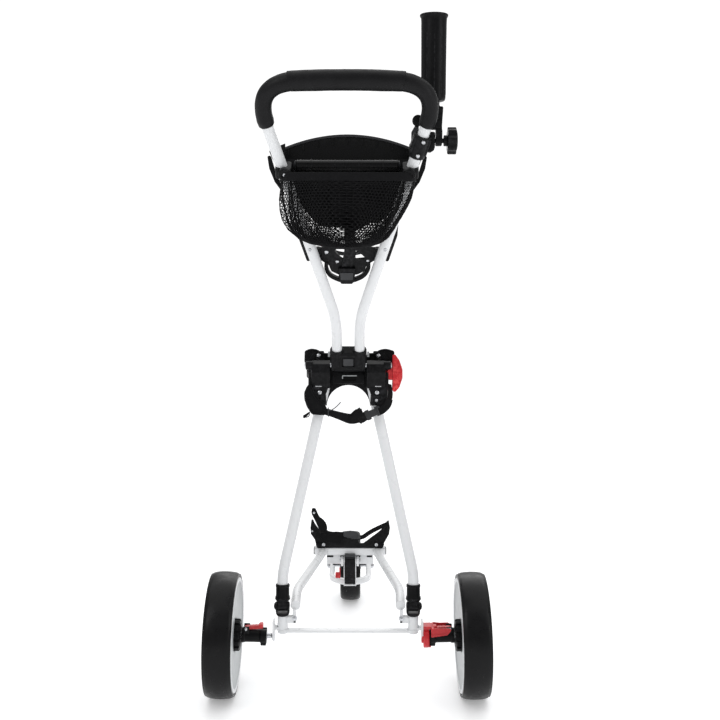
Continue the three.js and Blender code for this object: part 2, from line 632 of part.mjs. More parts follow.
// ---- the upper bag rest, on the handle's legs ----
function upperBagRest(handle) {
  const along = 240;
  const x = sideX(along);
  const centre = group(handle, 0, 0, along, 0, 0, 0);
  const shape = new THREE.Shape();
  shape.moveTo(-x - 4, 18);
  shape.lineTo(-26, 22);
  shape.lineTo(0, 20);
  shape.lineTo(26, 22);
  shape.lineTo(x + 4, 18);
  shape.lineTo(x - 4, -4);
  shape.lineTo(34, -18);
  shape.quadraticCurveTo(28, -42, 10, -46);
  shape.lineTo(-10, -46);
  shape.quadraticCurveTo(-28, -42, -34, -18);
  shape.lineTo(-x + 4, -4);
  const plate = plateXZ(shape, 6).translate(0, 14, 0);
  const holes = SIDES.map(([, side]) => {
    const corners = [[9, -3], [18, -2], [30, 9], [9, 15]].map(([px, pz]) => [side * px, pz]);
    return plateXZ(outline(side > 0 ? corners : corners.reverse()), 20).translate(0, 14, 0);
  });
  const post = box(19, 6, 84, 0, 14, 16);
  const wings = SIDES.map(([, side]) => {
    const wing = outline([[-6, -22], [26, -30], [44, 0], [40, 34], [20, 44], [-6, 36]]);
    return plateYZ(wing, 5).rotateY(side * 0.267).translate(side * (x + 17), 8, 18);
  });
  const bridge = box(2 * (x + 17), 5, 16, 0, 16, 10);
  const legs = SIDES.map(([, side]) => {
    return tube(handlePath(side), HANDLE_R + GAP, 26, 10).translate(0, 0, -along);
  });
  add(centre, "upper_bag_rest", cut(join(plate, post, bridge, ...wings), ...holes, ...legs), black);
  return centre;
}

// ---- umbrella holder: clamp, tilting arm and tube, clamping knob ----
function umbrellaHolder(handle) {
  const pivot = new THREE.Vector3(UMBRELLA.armX, UMBRELLA.y, UMBRELLA.pivotZ).sub(hingeAt);
  pivot.applyAxisAngle(across, -HANDLE_LEAN);
  const place = (geometry) => geometry.rotateY(Math.atan(HANDLE_SPLAY)).translate(sideX(CLAMP_S), 0, CLAMP_S);
  const bore = place(bar(HANDLE_R + GAP, 60, "z"));
  const split = place(box(60, 1.2, 60));
  const sleeve = () => join(place(bar(14, 32, "z")), place(box(30, 18, 28, 0, 0, 0)));
  const lug = bar(8, 13, "x", UMBRELLA.armX - 13.5, pivot.y, pivot.z, 14);
  const lugBore = bar(4 + GAP, 16, "x", UMBRELLA.armX - 7.5, pivot.y, pivot.z, 12);
  const front = cut(join(sleeve(), lug), bore, split, place(box(80, 40, 80, 0, -20, 0)), lugBore);
  add(handle, "umbrella_clamp_front", front, black);
  add(handle, "umbrella_clamp_back", cut(sleeve(), bore, split, place(box(80, 40, 80, 0, 20, 0))), black);

  const at = group(part, UMBRELLA.armX, UMBRELLA.y, UMBRELLA.pivotZ);
  const rise = UMBRELLA.z - at.position.z;
  const armShape = new THREE.Shape();
  armShape.moveTo(-9, 0);
  armShape.lineTo(-9, rise - 16);
  armShape.absarc(0, rise - 16, 9, Math.PI, 0, true);
  armShape.lineTo(9, 0);
  armShape.absarc(0, 0, 9, 0, -Math.PI, true);
  const arm = join(plateYZ(armShape, 13), box(7, 14, rise - 24, -8.5, 0, rise / 2 + 3));
  const neck = bar(5.5, 14, "z", 0, 0, rise - 3, 14);
  const cross = bar(4 + GAP, 40, "x", 0, 0, 0, 12);
  const { r: cupR, length, bore: cupBore } = UMBRELLA;
  const profile = [
    [0, 0], [cupR - 2, 0], [cupR, 3], [cupR + 0.6, length - 12], [cupR + 3, length - 10],
    [cupR + 3, length], [cupBore, length], [cupBore, 8], [0, 8],
  ];
  const points = profile.map(([radius, up]) => new THREE.Vector2(radius, up));
  const cup = new THREE.LatheGeometry(points, 20).rotateX(Math.PI / 2);
  cup.translate(UMBRELLA.x - UMBRELLA.armX, 0, rise);
  add(at, "umbrella_arm", cut(join(arm, neck), cross), black);
  add(at, "umbrella_tube", cut(cup, bar(5.5 + GAP, 9, "z", 0, 0, rise, 14)), black);
  const knobShape = new THREE.Shape();
  const lobes = 32;
  for (let i = 0; i < lobes; i += 1) {
    const turn = (i / lobes) * Math.PI * 2;
    const r = 20.5 + 1.5 * Math.cos(turn * 8);
    if (i === 0) {
      knobShape.moveTo(r, 0);
    } else {
      knobShape.lineTo(Math.cos(turn) * r, Math.sin(turn) * r);
    }
  }
  const wheel = plateYZ(knobShape, 15).translate(20.5, 0, 0);
  const stem = bar(9, 8, "x", 11, 0, 0, 16);
  const screw = bar(4, 26, "x", -1, 0, 0, 12);
  add(at, "umbrella_knob", join(wheel, stem, screw), black);
  return at;
}

baseFrame();
SIDES.forEach(([name, side]) => footClevis(name, side));
const hubs = Object.fromEntries(SIDES.map(([name, side]) => [name, rearWheel(name, side)]));
releaseLevers(hubs);
frontFork();
frontWheel();
lowerBagRest();
mast();
latch();
const handle = handleFrame();
consoleTray(handle);
netBag(handle);
upperBagRest(handle);
umbrellaHolder(handle);

part.position.y = -MIDDLE_Y;
const trolley = new THREE.Group();
trolley.add(part);

export default trolley;
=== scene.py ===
import json
import math
import random

import bmesh
import bpy
from mathutils import Matrix, Vector, noise


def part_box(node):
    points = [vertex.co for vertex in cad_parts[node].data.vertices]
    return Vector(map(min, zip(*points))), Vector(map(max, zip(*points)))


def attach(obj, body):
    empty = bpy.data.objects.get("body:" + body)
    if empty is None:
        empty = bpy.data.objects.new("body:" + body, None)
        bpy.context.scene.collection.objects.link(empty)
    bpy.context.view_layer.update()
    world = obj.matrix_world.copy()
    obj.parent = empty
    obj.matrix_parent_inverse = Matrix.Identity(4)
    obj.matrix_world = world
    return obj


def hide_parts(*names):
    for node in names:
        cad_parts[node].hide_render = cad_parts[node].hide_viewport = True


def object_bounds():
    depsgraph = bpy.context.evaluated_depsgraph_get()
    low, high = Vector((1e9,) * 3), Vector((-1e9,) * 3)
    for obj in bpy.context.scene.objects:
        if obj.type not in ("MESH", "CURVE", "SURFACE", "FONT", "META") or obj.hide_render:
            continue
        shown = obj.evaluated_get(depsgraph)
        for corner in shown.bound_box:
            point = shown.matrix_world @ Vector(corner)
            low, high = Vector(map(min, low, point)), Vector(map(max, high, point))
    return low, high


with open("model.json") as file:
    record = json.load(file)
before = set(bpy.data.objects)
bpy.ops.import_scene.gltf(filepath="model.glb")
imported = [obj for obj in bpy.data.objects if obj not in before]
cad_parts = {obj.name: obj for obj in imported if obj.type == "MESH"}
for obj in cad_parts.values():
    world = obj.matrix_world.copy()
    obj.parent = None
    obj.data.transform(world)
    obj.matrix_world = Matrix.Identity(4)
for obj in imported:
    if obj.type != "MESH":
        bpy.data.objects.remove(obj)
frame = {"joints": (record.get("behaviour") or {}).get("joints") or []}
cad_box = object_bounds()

MM = 0.001
SIDES = (("left", -1), ("right", 1))
JOINTS = {joint["name"]: joint for joint in frame["joints"]}

# ---- driving dimensions, in millimetres and radians ----
UPRIGHT_LEAN = 0.111
HANDLE_LEAN = 0.576
UPRIGHT_X = 126
UPRIGHT_R = 10.5
FOOT_BEND = 63
UPRIGHT_SPLAY = 0.2239
UPRIGHT_LENGTH = 425
HINGE_UP = 464
HINGE_BACK = 16
BASE_TUBE_R = 9.4
CROSSBAR_Y = 412
CROSSBAR_Z = 165
HANDLE_R = 9.6
LEG_X = 21.4
LEG_BEND = 110
HANDLE_SPLAY = 0.273
HANDLE_TOP = 584
GRIP_END = 502
CONSOLE_S = 421
REST_S = 240
CLAMP_S = 467
REAR_R = 120
REAR_RIM_R = 109
REAR_HALF = 27
FRONT_R = 84
FRONT_RIM_R = 70
FRONT_HALF = 24.5
SPOKES = 6
TREAD_X = 240.5  # along a rear axle, from the trolley's middle to the middle of the tread
CROWN = 8  # how much lower the handle's corners are than its top
GRIP_R = 13.6
GRIP_SWELL = 3.0
GRIP_PINCH = 2.6
GRIP_BEAD = 0.5
CONSOLE_HALF = 132
CREST_RISE = 32
NET_SQUARENESS = 0.62
CLAMP_BOLTS = ((1.5, 14), (0, -12))
CUP_RIBS = 10
KNOB_R = 20.6
KNOB_LOBE = 1.5
SPAN_STEPS = 8
PRESS_FRAMES = 16
ON_AXIS = 1e-3

# ---- the camera, in metres, degrees and millimetres of lens ----
CAMERA_X = 0.0222
CAMERA_BEHIND = 1.983
CAMERA_HEIGHT = 0.875
CAMERA_DIP = 6.35
CAMERA_ROLL = 0.12
CAMERA_LENS = 53.1


def at_joint(name, lean=0.0):
    return Matrix.Translation(JOINTS[name]["pos_m"]) @ Matrix.Rotation(lean, 4, "X")


def along_z(distance):
    return Matrix.Translation((0, 0, distance * MM))


def hub_place(name):
    """The frame of a rear hub: x out of the trolley along the axle, from the middle of the tread."""
    out = Vector(JOINTS["wheel_spin_" + name]["axis"]).normalized()
    out = -out if (out.x < 0) == (name == "right") else out
    up = (Vector((0, 0, 1)) - out * out.z).normalized()
    facing = Matrix((out, up.cross(out), up)).transposed().to_4x4()
    return Matrix.Translation(JOINTS["wheel_spin_" + name]["pos_m"]) @ facing


FOOT = Vector(JOINTS["frame_fold"]["pos_m"])
BASE = Matrix.Translation((0, FOOT.y, 0))
MAST = at_joint("frame_fold", -UPRIGHT_LEAN)
HANDLE = at_joint("handle_fold", HANDLE_LEAN)
CONSOLE = HANDLE @ along_z(CONSOLE_S) @ Matrix.Rotation(-HANDLE_LEAN, 4, "X")
UPPER_REST = HANDLE @ along_z(REST_S)
FORK = at_joint("fork_fold")
FRONT = at_joint("front_wheel_spin")
UMBRELLA = at_joint("umbrella_tilt")
HUBS = {name: hub_place(name) for name, side in SIDES}


# ---- materials ----
def add_node(tree, kind, **values):
    made = tree.nodes.new(kind)
    for key, value in values.items():
        if hasattr(made, key):
            setattr(made, key, value)
        else:
            made.inputs[key.replace("_", " ")].default_value = value
    return made


def noise_of(tree, coords, scale, detail=4.0, stretch=(1, 1, 1), rough=0.55):
    mapping = add_node(tree, "ShaderNodeMapping")
    mapping.inputs["Scale"].default_value = stretch
    tree.links.new(coords, mapping.inputs["Vector"])
    made = add_node(tree, "ShaderNodeTexNoise", Scale=scale, Detail=detail, Roughness=rough)
    tree.links.new(mapping.outputs["Vector"], made.inputs["Vector"])
    return made.outputs["Fac"]


def ranged(tree, value, low, high, to_low, to_high):
    made = add_node(tree, "ShaderNodeMapRange")
    for index, number in ((1, low), (2, high), (3, to_low), (4, to_high)):
        made.inputs[index].default_value = number
    tree.links.new(value, made.inputs[0])
    return made.outputs[0]


def maths(tree, operation, a, b):
    made = add_node(tree, "ShaderNodeMath", operation=operation)
    for socket, value in zip(made.inputs, (a, b)):
        if isinstance(value, (int, float)):
            socket.default_value = value
        else:
            tree.links.new(value, socket)
    return made.outputs[0]


def mixed(tree, share, first, second):
    made = add_node(tree, "ShaderNodeMix", data_type="RGBA")
    tree.links.new(share, made.inputs[0])
    for socket, value in ((made.inputs[6], first), (made.inputs[7], second)):
        if isinstance(value, tuple):
            socket.default_value = (*value, 1)
        else:
            tree.links.new(value, socket)
    return made.outputs[2]


def bumped(tree, height, strength, distance, under=None):
    made = add_node(tree, "ShaderNodeBump", Strength=strength, Distance=distance)
    tree.links.new(height, made.inputs["Height"])
    if under is not None:
        tree.links.new(under, made.inputs["Normal"])
    return made.outputs["Normal"]


def surface(name, colour, dark, rough, spread=0.08, metallic=0.0, specular=0.5, grain=0.2,
            grain_scale=2200.0, grain_depth=0.00015, patch_scale=28.0, scratch=0.0, scratch_colour=None,
            painted_edge_highlight=None, coat=0.0, sheen=0.0):
    """A finish with mottled colour, uneven gloss, a fine grain, scratches and a painted highlight on its
    edges.
    """
    material = bpy.data.materials.new(name)
    material.use_nodes = True
    tree = material.node_tree
    shader = tree.nodes["Principled BSDF"]
    shader.inputs["Metallic"].default_value = metallic
    shader.inputs["Specular IOR Level"].default_value = specular
    shader.inputs["Coat Weight"].default_value = coat
    shader.inputs["Sheen Weight"].default_value = sheen
    coords = add_node(tree, "ShaderNodeTexCoord").outputs["Object"]
    patches = ranged(tree, noise_of(tree, coords, patch_scale, 5), 0.35, 0.65, 0, 1)
    tint = mixed(tree, patches, dark, colour)
    gloss = ranged(tree, noise_of(tree, coords, patch_scale * 3.1, 6), 0.3, 0.7,
                   rough - spread, rough + spread)
    fine = noise_of(tree, coords, grain_scale, 3)
    normal = bumped(tree, fine, grain, grain_depth)
    if scratch:
        streaks = noise_of(tree, coords, 60, 6, (9, 1.2, 9), 0.72)
        other = noise_of(tree, coords, 75, 6, (1.1, 8, 1.4), 0.72)
        marks = ranged(tree, maths(tree, "MAXIMUM", streaks, other), 0.68, 0.78, 0, scratch)
        tint = mixed(tree, marks, tint, scratch_colour or colour)
        gloss = maths(tree, "ADD", gloss, maths(tree, "MULTIPLY", marks, 0.25))
        normal = bumped(tree, marks, 0.25, 0.0002, normal)
    # Painted highlight: sharp edges, found by pointiness and broken up by noise, are mixed towards a lighter
    # colour.
    if painted_edge_highlight:
        pointed = add_node(tree, "ShaderNodeNewGeometry").outputs["Pointiness"]
        edges = ranged(tree, pointed, 0.52, 0.6, 0, 1)
        edge_highlight_share = maths(tree, "MULTIPLY", edges, ranged(tree, noise_of(tree, coords, 190, 5),
                                                       0.42, 0.6, 0, 1))
        tint = mixed(tree, edge_highlight_share, tint, painted_edge_highlight)
    tree.links.new(tint, shader.inputs["Base Color"])
    tree.links.new(gloss, shader.inputs["Roughness"])
    tree.links.new(normal, shader.inputs["Normal"])
    return material


def woven(name, colour, dark, ribs_along, ribs_across, depth, rough=0.85, sheen=0.04):
    """Webbing: crossing ribs of yarn laid out by the strap's own length and width."""
    material = surface(name, colour, dark, rough, 0.06, specular=0.15, grain=0.35,
                       grain_scale=3800, sheen=sheen)
    tree = material.node_tree
    shader = tree.nodes["Principled BSDF"]
    coords = add_node(tree, "ShaderNodeUVMap").outputs["UV"]
    parts = add_node(tree, "ShaderNodeSeparateXYZ")
    tree.links.new(coords, parts.inputs[0])
    along = maths(tree, "SINE", maths(tree, "MULTIPLY", parts.outputs[0], math.tau / (ribs_along * MM)), 0)
    across = maths(tree, "SINE", maths(tree, "MULTIPLY", parts.outputs[1], math.tau / (ribs_across * MM)),
                   0)
    weave = ranged(tree, maths(tree, "MULTIPLY", along, across), -1, 1, 0, 1)
    shade = mixed(tree, weave, dark, colour)
    before = shader.inputs["Normal"].links[0].from_socket
    tree.links.new(shade, shader.inputs["Base Color"])
    tree.links.new(bumped(tree, weave, 0.8, depth, before), shader.inputs["Normal"])
    return material


def cellular(name, colour, dark, rough, scale, depth):
    """Closed-cell foam: small pits in a dull skin."""
    material = surface(name, colour, dark, rough, 0.07, specular=0.17, grain=0.3,
                       grain_scale=4200, sheen=0.02)
    tree = material.node_tree
    shader = tree.nodes["Principled BSDF"]
    coords = add_node(tree, "ShaderNodeTexCoord").outputs["Object"]
    cells = add_node(tree, "ShaderNodeTexVoronoi", Scale=scale)
    tree.links.new(coords, cells.inputs["Vector"])
    pits = ranged(tree, cells.outputs["Distance"], 0.0, 0.45, 0, 1)
    before = shader.inputs["Normal"].links[0].from_socket
    tree.links.new(bumped(tree, pits, 0.5, depth, before), shader.inputs["Normal"])
    return material


# Some finishes end with a lighter colour: a painted highlight for their sharp edges.
LOOKS = {
    "white_tube": surface(
        "white_powder_coat", (0.735, 0.745, 0.755), (0.715, 0.725, 0.737), 0.3, 0.05, specular=0.4,
        grain=0.16, grain_scale=1100, grain_depth=0.00015, scratch=0.05, scratch_colour=(0.6, 0.61, 0.62),
        coat=0.12),
    "steel": surface(
        "zinc_steel", (0.62, 0.63, 0.65), (0.5, 0.51, 0.53), 0.27, 0.08, metallic=1.0, grain=0.15,
        grain_scale=3000, scratch=0.4, scratch_colour=(0.75, 0.75, 0.76)),
    "black_plastic": surface(
        "black_nylon", (0.0036, 0.0037, 0.0042), (0.0022, 0.0023, 0.0027), 0.38, 0.1, specular=0.12,
        grain=0.3, grain_scale=2600, scratch=0.12, scratch_colour=(0.02, 0.02, 0.022),
        painted_edge_highlight=(0.02, 0.02, 0.022)),
    "gloss_black": surface(
        "black_abs", (0.0035, 0.0035, 0.004), (0.0024, 0.0024, 0.0028), 0.28, 0.07, specular=0.17,
        grain=0.08, scratch=0.15, scratch_colour=(0.02, 0.02, 0.022), painted_edge_highlight=(0.015, 0.015, 0.016)),
    "grey_plastic": surface(
        "grey_acetal", (0.03, 0.031, 0.034), (0.022, 0.023, 0.025), 0.4, 0.08, specular=0.35, grain=0.25,
        scratch=0.15, scratch_colour=(0.12, 0.12, 0.125)),
    "grip_foam": cellular(
        "grip_foam_skin", (0.0042, 0.0042, 0.005), (0.0026, 0.0026, 0.0032), 0.46, 900, 0.00014),
    "net": surface(
        "net_yarn", (0.0035, 0.0035, 0.0042), (0.002, 0.002, 0.0026), 0.7, 0.08, specular=0.15, grain=0.5,
        grain_scale=5000, sheen=0.02),
    "webbing": woven("strap_weave", (0.006, 0.006, 0.007), (0.002, 0.002, 0.0025), 2.4, 1.6, 0.0003),
    "padding": surface(
        "pad_cloth", (0.0045, 0.0045, 0.005), (0.0025, 0.0025, 0.003), 0.85, 0.08, specular=0.15,
        grain=0.8, grain_scale=1500, grain_depth=0.0004, patch_scale=60, sheen=0.04),
    "tyre": surface(
        "tyre_rubber", (0.0055, 0.0055, 0.0062), (0.0036, 0.0036, 0.004), 0.33, 0.1, specular=0.15,
        grain=0.25, grain_scale=1500, patch_scale=22, scratch=0.3, scratch_colour=(0.016, 0.016, 0.018)),
    "grey_rim": surface(
        "rim_plastic", (0.44, 0.46, 0.465), (0.40, 0.42, 0.43), 0.38, 0.07, specular=0.45, grain=0.2,
        scratch=0.15, scratch_colour=(0.6, 0.61, 0.62), painted_edge_highlight=(0.58, 0.59, 0.6)),
    "white_plastic": surface("rim_edge", (0.78, 0.79, 0.8), (0.72, 0.73, 0.745), 0.35, 0.06, grain=0.2),
    "red_plastic": surface(
        "red_nylon", (0.58, 0.011, 0.018), (0.47, 0.008, 0.014), 0.36, 0.07, specular=0.45, grain=0.25,
        grain_scale=2400, scratch=0.15, scratch_colour=(0.7, 0.12, 0.12), painted_edge_highlight=(0.72, 0.06, 0.06)),
}


# ---- shapes: each function gives a closed bmesh in millimetres ----
def rounded(corners, radius=2.0, steps=4):
    """A closed outline with its corners rounded; a corner may be (x, y) or (x, y, its own radius)."""
    points = []
    count = len(corners)
    for i, corner in enumerate(corners):
        here = Vector(corner[:2])
        before = Vector(corners[i - 1][:2]) - here
        after = Vector(corners[(i + 1) % count][:2]) - here
        wanted = corner[2] if len(corner) > 2 else radius
        half = before.angle(after) / 2
        back = min(wanted / max(math.tan(half), 0.05), before.length * 0.48, after.length * 0.48)
        if wanted < 0.01 or half > 1.54:
            points.append(here)
            continue
        start, end = here + before.normalized() * back, here + after.normalized() * back
        for k in range(steps + 1):
            t = k / steps
            points.append(start * (1 - t) ** 2 + here * 2 * t * (1 - t) + end * t * t)
    return points


def mirrored(corners):
    """Corners on the right side, followed by the same corners on the left in reverse."""
    return [*corners, *[(-c[0], *c[1:]) for c in reversed(corners)]]


def arc(cx, cy, radius, start, end, steps):
    turns = [start + (end - start) * k / steps for k in range(steps + 1)]
    return [(cx + math.cos(t) * radius, cy + math.sin(t) * radius) for t in turns]


PLANES = {
    "xy": lambda u, v, w: (u, v, w),
    "xz": lambda u, v, w: (u, w, v),
    "yz": lambda u, v, w: (w, u, v),
}


def finished(made, bevel, segments=2):
    bmesh.ops.recalc_face_normals(made, faces=made.faces)
    if bevel:
        edges = [e for e in made.edges if e.is_manifold and e.calc_face_angle() > 0.6]
        bmesh.ops.bevel(made, geom=edges, offset=bevel, segments=segments, profile=0.5, affect="EDGES",
                        clamp_overlap=True)
    return made


def oblong(width, depth):
    w, d = width / 2, depth / 2
    return [(w, d), (-w, d), (-w, -d), (w, -d)]


def prism(outline, low, high, plane="xz", bevel=0.7):
    made = bmesh.new()
    place = PLANES[plane]
    near = [made.verts.new(place(p[0], p[1], low)) for p in outline]
    far = [made.verts.new(place(p[0], p[1], high)) for p in outline]
    made.faces.new(near)
    made.faces.new(far)
    for i in range(len(near)):
        j = (i + 1) % len(near)
        made.faces.new((near[i], near[j], far[j], far[i]))
    return finished(made, bevel)


def plate(corners, radius, low, high, plane="xz", bevel=0.7):
    """A slab with rounded corners from low to high across its plane."""
    return prism(rounded(corners, radius), low, high, plane, bevel)


def block(width, depth, height, x=0, y=0, z=0, bevel=0.8, corner=0.0):
    """A box about a centre; corner rounds its four upright edges."""
    outline = oblong(width, depth)
    if corner:
        outline = rounded(outline, corner)
    return moved(prism(outline, z - height / 2, z + height / 2, "xy", bevel), (x, y, 0))


def moved(made, offset=(0, 0, 0), turn=None):
    matrix = Matrix.Translation(offset)
    if turn:
        matrix = matrix @ Matrix.Rotation(turn[0], 4, turn[1])
    made.transform(matrix)
    return made


def lathe(profile, sides=64, axis="x"):
    """A turned piece from [radius, along] pairs that start and end on the axis, or close on themselves."""
    made = bmesh.new()
    rings = []
    closed = profile[0] == profile[-1]
    for radius, along in (profile[:-1] if closed else profile):
        ring = []
        for k in range(sides if radius > ON_AXIS else 1):
            turn = math.tau * k / sides
            u, v = math.cos(turn) * radius, math.sin(turn) * radius
            ring.append(made.verts.new({"x": (along, u, v), "y": (v, along, u), "z": (u, v, along)}[axis]))
        rings.append(ring)
    pairs = list(zip(rings, rings[1:])) + ([(rings[-1], rings[0])] if closed else [])
    for first, second in pairs:
        for k in range(sides):
            j = (k + 1) % sides
            corners = [first[k % len(first)], first[j % len(first)], second[j % len(second)],
                       second[k % len(second)]]
            unique = list(dict.fromkeys(corners))
            if len(unique) > 2:
                made.faces.new(unique)
    return finished(made, 0)


def soft_profile(profile, radius=1.0, steps=3):
    """A lathe profile with its corners rounded; an open one keeps its two ends on the axis."""
    if profile[0] == profile[-1]:
        points = [tuple(p) for p in rounded(profile[:-1], radius, steps)]
        return [*points, points[0]]
    inner = [tuple(p) for p in rounded(profile, radius, steps) if p[0] > ON_AXIS]
    return [tuple(profile[0][:2]), *inner, tuple(profile[-1][:2])]


def turned(profile, radius, sides=64, axis="x"):
    """A lathe piece with soft corners."""
    return lathe(soft_profile(profile, radius), sides, axis)


def bar(radius, length, axis="x", at=(0, 0, 0), edge=0.6, sides=32):
    half = length / 2
    profile = [(0, -half), (radius - edge, -half), (radius - edge * 0.3, -half + edge * 0.3),
               (radius, -half + edge), (radius, half - edge), (radius - edge * 0.3, half - edge * 0.3),
               (radius - edge, half), (0, half)]
    return moved(lathe(profile, sides, axis), at)


def dome(radius, height, axis="x", at=(0, 0, 0), flip=1, sides=24):
    """A button head whose flat face is at the point given."""
    profile = [(0, 0)] + [(radius * math.cos(t), flip * height * math.sin(t))
                          for t in (0, 0.3, 0.6, 0.9, 1.2)] + [(0, flip * height)]
    return moved(lathe(profile, sides, axis), at)


def screw_head(radius, height, axis, at, flip=1):
    """A pan head with a cross recess."""
    deep, long, thin = height * 0.9, radius * 1.1, radius * 0.3
    where = [spot + (flip * deep if letter == axis else 0) for spot, letter in zip(at, "xyz")]
    tools = []
    for u, v in ((long, thin), (thin, long)):
        dims = {"x": (deep, u, v), "y": (u, deep, v), "z": (u, v, deep)}[axis]
        tools.append(block(*dims, *where, bevel=0))
    return cut(dome(radius, height, axis, at, flip), *tools)


def hexagon(radius, length, axis, at, edge=0.5):
    made = lathe([(0, -length / 2), (radius, -length / 2), (radius, length / 2), (0, length / 2)], 6, axis)
    return moved(finished(made, edge, 1), at)


def cut(shape, *tools, operation="DIFFERENCE"):
    """The shape less its tools, or joined with them."""
    base = temporary(shape)
    made = [temporary(tool) for tool in tools]
    for tool in made:
        modifier = base.modifiers.new("cut", "BOOLEAN")
        modifier.operation = operation
        modifier.object = tool
        modifier.solver = "EXACT"
    bpy.context.view_layer.update()
    result = bmesh.new()
    result.from_object(base, bpy.context.evaluated_depsgraph_get())
    for item in (base, *made):
        mesh = item.data
        bpy.data.objects.remove(item)
        bpy.data.meshes.remove(mesh)
    return result


def temporary(shape):
    mesh = bpy.data.meshes.new("temporary")
    shape.to_mesh(mesh)
    item = bpy.data.objects.new("temporary", mesh)
    bpy.context.scene.collection.objects.link(item)
    return item


def route(corners, steps=8):
    """Straight runs with rounded corners, in short steps; a corner is (x, y, z, cut back from it)."""
    spots = [Vector(c[:3]) for c in corners]
    points = [spots[0]]
    for i in range(1, len(spots) - 1):
        back = corners[i][3]
        start = spots[i] + (spots[i - 1] - spots[i]).normalized() * back
        end = spots[i] + (spots[i + 1] - spots[i]).normalized() * back
        for k in range(steps + 1):
            t = k / steps
            points.append(start * (1 - t) ** 2 + spots[i] * 2 * t * (1 - t) + end * t * t)
    points.append(spots[-1])
    fine = [points[0]]
    for point in points[1:]:
        gap = (point - fine[-1]).length
        if gap < 0.5:
            continue
        pieces = max(1, round(gap / 30))
        first = fine[-1].copy()
        fine.extend(first.lerp(point, k / pieces) for k in range(1, pieces + 1))
    return fine


def curve_through(points, per_span):
    """A smooth line through given points."""
    spots = [Vector(p) for p in points]
    ends = [spots[0] * 2 - spots[1], *spots, spots[-1] * 2 - spots[-2]]
    line = []
    for a, b, c, d in zip(ends, ends[1:], ends[2:], ends[3:]):
        for k in range(per_span):
            t = k / per_span
            line.append((b * 2 + (c - a) * t + (a * 2 - b * 5 + c * 4 - d) * t * t
                         + (b * 3 - a - c * 3 + d) * t ** 3) / 2)
    return [*line, spots[-1]]


def hoop(centre, across, along, steps=24):
    """A closed path round a centre, through the ends of two half axes."""
    turns = [math.tau * k / steps for k in range(steps + 1)]
    return [Vector(centre) + Vector(across) * math.cos(t) + Vector(along) * math.sin(t) for t in turns]


def circle(radius, sides=24):
    return [(math.cos(math.tau * k / sides) * radius, math.sin(math.tau * k / sides) * radius)
            for k in range(sides)]


def sweep(path, section, up=(0, 0, 1), sizes=None, ends=True):
    """A section carried along a path; sizes scales it at each point. Its map runs along and around it."""
    made = bmesh.new()
    layer = made.loops.layers.uv.new("UVMap")
    normal = Vector(up)
    rings, run = [], [0.0]
    for i, point in enumerate(path):
        ahead = (path[min(i + 1, len(path) - 1)] - path[max(i - 1, 0)]).normalized()
        normal = (normal - ahead * normal.dot(ahead)).normalized()
        side = ahead.cross(normal)
        size = sizes[i] if sizes else 1.0
        rings.append([made.verts.new(point + (side * u + normal * v) * size) for u, v in section])
        if i:
            run.append(run[-1] + (point - path[i - 1]).length)
    around = [0.0]
    for a, b in zip(section, [*section[1:], section[0]]):
        around.append(around[-1] + math.dist(a, b))
    count = len(section)
    for i in range(len(rings) - 1):
        for k in range(count):
            j = (k + 1) % count
            face = made.faces.new((rings[i][k], rings[i][j], rings[i + 1][j], rings[i + 1][k]))
            spots = ((run[i], around[k]), (run[i], around[k + 1]), (run[i + 1], around[k + 1]),
                     (run[i + 1], around[k]))
            for loop, (u, v) in zip(face.loops, spots):
                loop[layer].uv = (u * MM, v * MM)
    if ends:
        made.faces.new(list(reversed(rings[0])))
        made.faces.new(rings[-1])
    bmesh.ops.recalc_face_normals(made, faces=made.faces)
    return made


def tube(corners, radius, steps=8, sides=28, up=(0.3, 1, 0.2)):
    return sweep(route(corners, steps), circle(radius, sides), up)


# ---- pieces ----
def merged(shapes):
    whole = bmesh.new()
    for shape in shapes:
        mesh = bpy.data.meshes.new("part")
        shape.to_mesh(mesh)
        whole.from_mesh(mesh)
        bpy.data.meshes.remove(mesh)
    return whole


def placed(name, shapes, place):
    """An object in the scene, in metres, from shapes drawn in millimetres in the frame given."""
    whole = merged(shapes)
    whole.transform(place @ Matrix.Scale(MM, 4))
    mesh = bpy.data.meshes.new(name)
    whole.to_mesh(mesh)
    item = bpy.data.objects.new(name, mesh)
    bpy.context.scene.collection.objects.link(item)
    return item


def assigned(item, body, stands_for):
    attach(item, body)
    if stands_for:
        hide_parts(*stands_for)
    return item


def piece(name, shapes, look, place, body, *stands_for, sharp=38, smooth=True):
    """One visible piece: its shapes in one mesh, in place, on its body, for the nodes that it stands for."""
    item = placed(name, shapes, place)
    item.data.materials.append(LOOKS[look])
    if smooth:
        item.data.shade_smooth()
        item.data.set_sharp_from_angle(angle=math.radians(sharp))
        weighted = item.modifiers.new("weighted", "WEIGHTED_NORMAL")
        weighted.keep_sharp = True
    return assigned(item, body, stands_for)


def node_piece(name, shapes, look, place, body, **finish):
    """A visible piece that stands for the CAD node of its own name."""
    return piece(name, shapes, look, place, body, name, **finish)


